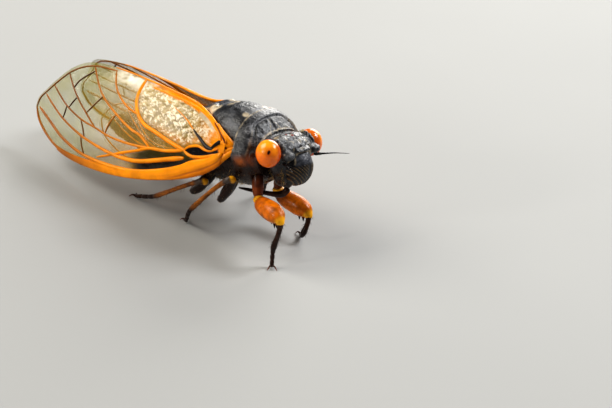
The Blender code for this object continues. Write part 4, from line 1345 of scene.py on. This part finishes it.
# Joints: the root's x on the trunk and its angle round it, the hip and the knee in the insect's own frame,
# and the ankle and the toe over the floor
LEGS = {
    "front_right": {
        "root": (-4.4, 226), "hip": (-3.85, -3.3, -4.95), "knee": (0.15, -4.8, -5.95),
        "ankle": (17.95, -4.8, 2.0), "toe": (18.05, -4.9, 0.3),
    },
    "front_left": {
        "root": (-5.3, -62), "hip": (-6.2, 2.4, -6.1), "knee": (-2.3, 2.4, -7.95),
        "ankle": (16.7, 1.5, 1.15), "toe": (15.5, 2.7, 0.3),
    },
    "middle_right": {
        "root": (-8.2, 238), "hip": (-8.9, -3.55, -5.75), "knee": (-5.75, -5.2, -2.5),
        "ankle": (7.1, -5.3, 2.4), "toe": (5.7, -4.3, 0.3),
    },
    "middle_left": {
        "root": (-8.2, -58), "hip": (-8.9, 3.55, -5.75), "knee": (-6.7, 4.9, -3.1),
        "ankle": (7.6, 6.0, 2.3), "toe": (6.6, 6.9, 0.3),
    },
    "hind_right": {
        "root": (-11.6, 238), "hip": (-12.9, -3.35, -5.6), "knee": (-9.9, -4.85, -3.6),
        "ankle": (1.5, -4.8, 1.6), "toe": (-1.6, -4.2, 0.3),
    },
    "hind_left": {
        "root": (-11.6, -58), "hip": (-12.9, 3.35, -5.6), "knee": (-10.3, 5.0, -3.8),
        "ankle": (1.0, 5.9, 1.5), "toe": (-1.9, 6.6, 0.3),
    },
}
ROOT_SINK = 0.1
JOINT_TURN = 1.0
TURN_SHARE = 0.36
LIMB_RINGS = 40
# Radius along each limb, as shares of its length
COXA_PROFILES = {
    "front": [(0.0, 0.60), (0.3, 0.62), (0.7, 0.52), (0.82, 0.44), (0.9, 0.60), (1.0, 0.56)],
    "walking": [(0.0, 0.60), (0.3, 0.62), (0.7, 0.52), (0.86, 0.36), (0.93, 0.42), (1.0, 0.36)],
}
FEMUR_PROFILES = {
    "front": [
        (0.0, 0.56), (0.04, 0.52), (0.08, 0.68), (0.2, 0.88), (0.5, 1.02), (0.72, 0.98), (0.88, 0.78),
        (0.95, 0.60), (1.0, 0.45),
    ],
    "walking": [(0.0, 0.32), (0.2, 0.42), (0.5, 0.47), (0.85, 0.38), (0.95, 0.36), (1.0, 0.32)],
}
TIBIA_PROFILES = {
    "front": [(0.0, 0.40), (0.08, 0.36), (0.2, 0.28), (0.6, 0.27), (0.9, 0.32), (1.0, 0.26)],
    "middle": [(0.0, 0.34), (0.06, 0.34), (0.14, 0.27), (0.5, 0.24), (0.92, 0.28), (1.0, 0.22)],
    "hind": [(0.0, 0.34), (0.05, 0.34), (0.12, 0.26), (0.5, 0.23), (0.94, 0.28), (1.0, 0.22)],
}
TARSUS_PROFILE = [
    (0.0, 0.20), (0.1, 0.24), (0.27, 0.22), (0.31, 0.17), (0.36, 0.23), (0.6, 0.22), (0.65, 0.16),
    (0.7, 0.22), (0.95, 0.20), (1.0, 0.15),
]
SOLE_HEIGHT = 0.26
# Teeth under a front thigh: place along it and length
FEMUR_TEETH = [(0.62, 0.45), (0.76, 0.6), (0.88, 0.45)]
CLAW_LENGTH = 0.83
CLAW_ROOT_HEIGHT = 0.24
CLAW_TIP_HEIGHT = 0.04
CLAW_SPREAD = 0.7
SEGMENTS_OF_LEG = ("coxa", "femur", "tibia", "tarsus")


def limb(start, end, first, last, profile):
    """A tapered limb length between two joints, as a path of (point, radius)."""
    reach = min(JOINT_TURN, TURN_SHARE * (end - start).length)
    start, end = start - first * 0.06, end + last * 0.06
    line = interpolate_bezier(start, start + first * reach, end - last * reach, end, LIMB_RINGS)
    done = [0.0]
    for a, b in zip(line, line[1:]):
        done.append(done[-1] + (b - a).length)
    return [(p, along(profile, d / done[-1])[0]) for p, d in zip(line, done)]


def trunk_seat(x, degrees):
    """Where a leg starts, sunk a little into the trunk's skin, and the skin's outward direction there."""
    angle = math.radians(degrees)
    step = 0.02
    along_x = trunk_point(x + step, angle) - trunk_point(x - step, angle)
    round_it = trunk_point(x, angle + step) - trunk_point(x, angle - step)
    out = round_it.cross(along_x).normalized()
    point = trunk_point(x, angle)
    if out.dot(point - Vector((x, 0, -1))) < 0:
        out = -out
    return point - out * ROOT_SINK, out


# Colours along each limb, as shares of its length
LEG_BANDS = {
    "front": {
        "coxa": [(0.0, DEEP_BROWN), (0.45, RUST), (0.82, RUST), (0.87, LEG_YELLOW), (1.0, LEG_YELLOW)],
        # The yellow at the front knee, at the thigh's end and the shin's start, is a painted highlight; the
        # yellow ring at the hip is the leg's own colour.
        "femur": [
            (0.0, LEG_YELLOW), (0.02, LEG_YELLOW), (0.05, DEEP_BROWN), (0.09, LEG_RED), (0.5, LEG_ORANGE),
            (0.9, LEG_ORANGE), (0.98, LEG_YELLOW), (1.0, LEG_YELLOW),
        ],
        "tibia": [
            (0.0, LEG_YELLOW), (0.04, LEG_BROWN), (0.5, LEG_BROWN), (0.9, DEEP_BROWN), (1.0, DEEP_BROWN),
        ],
    },
    "walking": {
        "coxa": [(0.0, DEEP_BROWN), (0.8, DEEP_BROWN), (0.9, RUST), (1.0, RUST)],
        "femur": [
            (0.0, RUST), (0.15, DEEP_BROWN), (0.84, DEEP_BROWN), (0.93, LEG_YELLOW), (1.0, LEG_YELLOW),
        ],
        # The grey just below each walking knee is a painted sheen.
        "tibia": [
            (0.0, LEG_YELLOW), (0.03, LEG_YELLOW), (0.06, LEG_SHEEN_GREY), (0.18, LEG_SHEEN_GREY), (0.26, LEG_TAN),
            (0.75, LEG_TAN), (0.95, LEG_BROWN), (1.0, DEEP_BROWN),
        ],
    },
    "any": {
        "tarsus": [(0.0, DEEP_BROWN), (1.0, LEG_BROWN)],
        "tooth": [(0.0, LEG_RED), (0.4, BLACK), (1.0, BLACK)],
        "claw": [(0.0, DEEP_BROWN), (0.5, LEG_BROWN), (1.0, RUST)],
    },
}


def band_colour(rows, share):
    """The colour at this share of a limb's length."""
    for (a, low), (b, high) in zip(rows, rows[1:]):
        if share <= b:
            return mix(low, high, (share - a) / (b - a))
    return rows[-1][1]


def thigh_teeth(hip, knee):
    """The teeth under a front thigh."""
    thigh = (knee - hip).normalized()
    belly = thigh.cross(Vector((0, 1, 0))).normalized()
    belly *= -math.copysign(1, belly.z)
    teeth = []
    for share, length in FEMUR_TEETH:
        start = hip.lerp(knee, share) + belly * 0.45
        tip = start + belly * (0.2 + length) + thigh * 0.25
        teeth.append(("tooth", [(start, 0.24), (start.lerp(tip, 0.5), 0.14), (tip, 0.02)]))
    return teeth


def toe_claws(toe, foot):
    """The two curved claws at the tip of a foot that points along foot."""
    flat = Vector((foot.x, foot.y, 0)).normalized()
    across = Vector((-flat.y, flat.x, 0))
    claws = []
    for turn in (-1, 1):
        way = (flat + across * turn * CLAW_SPREAD).normalized()
        base = Vector((toe.x, toe.y, CLAW_ROOT_HEIGHT))
        tip = base + way * CLAW_LENGTH
        tip.z = CLAW_TIP_HEIGHT
        line = [base, base + way * 0.3 + Vector((0, 0, 0.1)), base + way * 0.58 + Vector((0, 0, 0.02)), tip]
        line = smooth_line(line, 0.08)
        claws.append(("claw", [(p, 0.13 * (1 - k / len(line)) + 0.015) for k, p in enumerate(line)]))
    return claws


def make_leg(name, joints, paint):
    """One leg as one piece. Returns its bristles, which are made later."""
    pair = name.split("_")[0]
    kind = "front" if pair == "front" else "walking"
    seat, out = trunk_seat(*joints["root"])
    root = TO_FLOOR @ seat
    out = TO_FLOOR.to_3x3() @ out
    hip, knee = (TO_FLOOR @ Vector(joints[k]) for k in ("hip", "knee"))
    ankle, toe = Vector(joints["ankle"]), Vector(joints["toe"])
    places = [root, hip, knee, ankle, toe]
    ways = [(b - a).normalized() for a, b in zip(places, places[1:])]
    turns = [(a + b).normalized() for a, b in zip([out] + ways, ways)] + [ways[-1]]
    places[-1] = Vector((toe.x, toe.y, SOLE_HEIGHT))
    profiles = [COXA_PROFILES[kind], FEMUR_PROFILES[kind], TIBIA_PROFILES[pair], TARSUS_PROFILE]
    parts = []
    for k, part in enumerate(SEGMENTS_OF_LEG):
        parts.append((part, limb(places[k], places[k + 1], turns[k], turns[k + 1], profiles[k])))
    if pair == "front":
        parts += thigh_teeth(hip, knee)
    parts += toe_claws(toe, ways[-1])
    bands = LEG_BANDS[kind] | LEG_BANDS["any"]
    paths = []
    for part, path in parts:
        step = len(path) - 1
        path = [(p, radius, band_colour(bands[part], k / step)) for k, (p, radius) in enumerate(path)]
        paths.append(domed(path))
    bm = strands(paths, 16)
    layer = bm.verts.layers.float_color["paint"]
    for v in bm.verts:
        dark = 0.55 * smooth(0.1, 0.6, ripple(v.co, 1.1))
        v[layer] = (*mix(v[layer][:3], DEEP_BROWN, dark), 1)
    nodes = [f"{part}_{name}" for part in SEGMENTS_OF_LEG]
    finish(f"leg_{name}", bm, paint, nodes, WORLD_FROM_FLOOR)
    return leg_bristles(dict(parts))


BRISTLE_SEED = 5
# Bristles of a limb: how many, how long, their colour and their row on the unwrap
BRISTLES = {
    "tibia": (34, 0.34, HAIR_BLACK, 0.2),
    "femur": (30, 0.22, HAIR_GOLD, 0.7),
}


def leg_bristles(parts):
    """Rows of short spines down the shin and fine hairs on the thigh of one leg."""
    rng = random.Random(BRISTLE_SEED)
    hairs = []
    for part, (count, length, colour, row) in BRISTLES.items():
        path = parts[part]
        for k in range(count):
            at = 3 + (len(path) - 6) * k // count
            (a, radius), (b, _) = path[at], path[at + 1]
            along_limb = (b - a).normalized()
            side = along_limb.cross(Vector((0.3, 1, 0.2))).normalized()
            turn = Matrix.Rotation(rng.uniform(0, 2 * math.pi), 3, along_limb)
            out = turn @ side
            way = (out * 0.75 + along_limb * 0.65).normalized()
            unwrap = (0.1 + 0.8 * k / count, row)
            hairs.append((a + out * radius * 0.9, length * rng.uniform(0.7, 1.2), way, 0.02, colour, unwrap))
    return hairs


# Hair and bristles


BAKE_PATCH = 0.003
HAIR_SEED = 17
HAIR_SIDES = 4
HAIR_RINGS = 3
# Hair of the trunk: how many, x of its front and back, lowest and highest angle round it, length
BODY_HAIR = [
    (420, -4.1, -6.0, -150, -12, 0.36),
    (620, -6.4, -13.2, -140, -15, 0.36),
    (420, -13.8, -26.5, -120, -25, 0.24),
]
TUFT_HAIRS = 26
CHEEK_HAIRS = 150


def make_hairs(name, hairs, paint, place=WORLD_FROM_BODY):
    """Fine tapered hairs in one piece.

    A hair is its root, length, way, radius, colour and its root's place on an unwrap of the skin.
    """
    paths = []
    for root, length, way, radius, colour, _ in hairs:
        droop = Vector((0, 0, -0.25 * length))
        middle = root + way * length * 0.5
        tip = root + way * length + droop
        paths.append([(root, radius, colour), (middle, radius * 0.7, colour), (tip, radius * 0.12, colour)])
    bm = strands(paths, HAIR_SIDES)
    patch = bm.loops.layers.uv.new("OFBake")
    bm.verts.index_update()
    for face in bm.faces:
        for k, loop in enumerate(face.loops):
            u, v = hairs[loop.vert.index // (HAIR_SIDES * HAIR_RINGS)][5]
            loop[patch].uv = (u + BAKE_PATCH * (k % 2), v + BAKE_PATCH * (k // 2 % 2))
    finish(name, bm, paint, [], place)


def body_hairs(rng):
    """Short golden hairs on the lower sides of the thorax and under the abdomen, lying back and down."""
    hairs = []
    for count, front, back, low, high, length in BODY_HAIR:
        for _ in range(count):
            x = rng.uniform(front, back)
            angle = math.radians(rng.uniform(low, high))
            if rng.random() < 0.5:
                angle = math.pi - angle
            root = trunk_point(x, angle, 0.0)
            out = (root - Vector((x, 0, -0.8))).normalized()
            stray = Vector([rng.uniform(-0.35, 0.35) for _ in range(3)])
            way = (out * 0.6 + Vector((-0.5, 0, -0.45)) + stray).normalized()
            size = length * rng.uniform(0.6, 1.3)
            unwrap = ((x + 30) / 30, (angle / (2 * math.pi)) % 1.0)
            colour = mix(HAIR_GOLD, DEEP_BROWN, rng.random() * 0.7)
            hairs.append((root, size, way, 0.012, colour, unwrap))
    return hairs


def head_hairs(rng):
    """Golden hairs low on the cheeks, and a small cream tuft behind each eye."""
    hairs = []
    for side in SIDES.values():
        for _ in range(TUFT_HAIRS):
            root = Vector((-2.0 + rng.uniform(-0.25, 0.2), (2.15 + rng.uniform(-0.2, 0.2)) * side, 1.15))
            way = Vector((rng.uniform(-0.5, 0.15), rng.uniform(-0.3, 0.3), 1.0)).normalized()
            unwrap = (0.5 + root.x / 20, 0.5 + root.y / 20)
            hairs.append((root, rng.uniform(0.25, 0.55), way, 0.02, HAIR_CREAM, unwrap))
        for _ in range(CHEEK_HAIRS):
            height = rng.uniform(-3.3, -1.3)
            root = Vector((rng.uniform(-2.8, -1.2), (2.2 + 0.35 * (height + 1.3) / 2) * side, height))
            way = Vector((rng.uniform(-0.3, 0.5), 0.6 * side, rng.uniform(-1.0, -0.3))).normalized()
            unwrap = (0.5 + root.x / 20, 0.5 + root.z / 20)
            colour = mix(HAIR_GOLD, DEEP_BROWN, rng.random() * 0.6)
            hairs.append((root - way * 0.1, rng.uniform(0.3, 0.6), way, 0.012, colour, unwrap))
    return hairs


# Stage


FLOOR_REACH = 3.0
SKY_STRENGTH = 0.13
LIGHT_AIM = Vector((0, 0, 0.006))
# Softboxes, in metres and watts: place, width, power, colour
LIGHTS = {
    "key": ((-0.25, -0.17, 0.29), 0.28, 1.5, (1.0, 0.96, 0.88)),
    "rim": ((-0.12, 0.34, 0.15), 0.24, 1.35, (1.0, 0.98, 0.94)),
    "top": ((0.15, 0.22, 0.29), 0.14, 1.15, (0.97, 0.98, 1.0)),
    "side": ((-0.11, -0.37, 0.13), 0.045, 0.35, (1.0, 0.97, 0.92)),
}


def make_floor():
    """A plain pale floor."""
    bm = bmesh.new()
    bmesh.ops.create_grid(bm, x_segments=1, y_segments=1, size=FLOOR_REACH)
    mesh = bpy.data.meshes.new("floor")
    bm.to_mesh(mesh)
    bm.free()
    material, tree, shader = new_material("pale floor", Base_Color=FLOOR_GREY)
    tree.links.new(ranged(tree, grain(tree, 0.02, 2), 0.85, 0.95), shader.inputs["Roughness"])
    mesh.materials.append(material)
    placed("floor", mesh)


def make_lights():
    """A soft even sky and square softboxes that face the insect."""
    world = bpy.data.worlds.new("studio")
    bpy.context.scene.world = world
    world.use_nodes = True
    background = world.node_tree.nodes["Background"]
    background.inputs["Color"].default_value = SKY_WHITE
    background.inputs["Strength"].default_value = SKY_STRENGTH
    for name, (place, size, power, colour) in LIGHTS.items():
        light = bpy.data.lights.new(name, "AREA")
        light.shape = "SQUARE"
        light.size = size
        light.energy = power
        light.color = colour
        lamp = placed(name, light)
        lamp.location = place
        lamp.rotation_euler = (LIGHT_AIM - Vector(place)).to_track_quat("-Z", "Y").to_euler()
    bpy.context.scene.view_settings.view_transform = "Standard"
    bpy.context.scene.view_settings.look = "Medium High Contrast"


def make_camera():
    """The photograph's view of the body, from far off with a long lens."""
    a, e, roll = VIEW_AZIMUTH, VIEW_ELEVATION, VIEW_ROLL
    back = Vector((math.sin(a) * math.cos(e), -math.cos(a) * math.cos(e), math.sin(e)))
    right = Vector((math.cos(a), math.sin(a), 0))
    up = back.cross(right)
    across = right * math.cos(roll) + up * math.sin(roll)
    upward = up * math.cos(roll) - right * math.sin(roll)
    place = Matrix((across, upward, back)).transposed().to_4x4()
    place.translation = LOOK_AT + back * VIEW_DISTANCE
    place = Matrix.Translation((*CENTRE, 0)) @ TO_FLOOR @ place
    place.translation *= MM
    camera = bpy.data.cameras.new("camera")
    camera.sensor_width = SENSOR
    camera.lens = PIXELS_PER_MM * VIEW_DISTANCE * SENSOR / FRAME_PIXELS
    camera.clip_start = 0.01
    camera.clip_end = 20.0
    view = placed("camera", camera)
    view.matrix_world = place
    bpy.context.scene.camera = view


def main():
    shell, eye, leg = make_shell(), make_eye_paint(), make_leg_paint()
    film, vein = make_membrane_paint(), make_vein_paint()
    make_camera()
    make_floor()
    make_lights()
    make_head(shell)
    make_eyes(eye)
    make_ocelli(eye)
    make_antennae(shell)
    make_rostrum(leg)
    make_pronotum(shell)
    make_mesonotum(shell)
    make_abdomen(shell)
    make_wings(film, vein)
    bristles = []
    for name, joints in LEGS.items():
        bristles += make_leg(name, joints, leg)
    hair = make_hair_paint()
    rng = random.Random(HAIR_SEED)
    make_hairs("leg_bristles", bristles, hair, WORLD_FROM_FLOOR)
    make_hairs("body_hair", body_hairs(rng), hair)
    make_hairs("head_hair", head_hairs(rng), hair, WORLD_FROM_HEAD)


main()
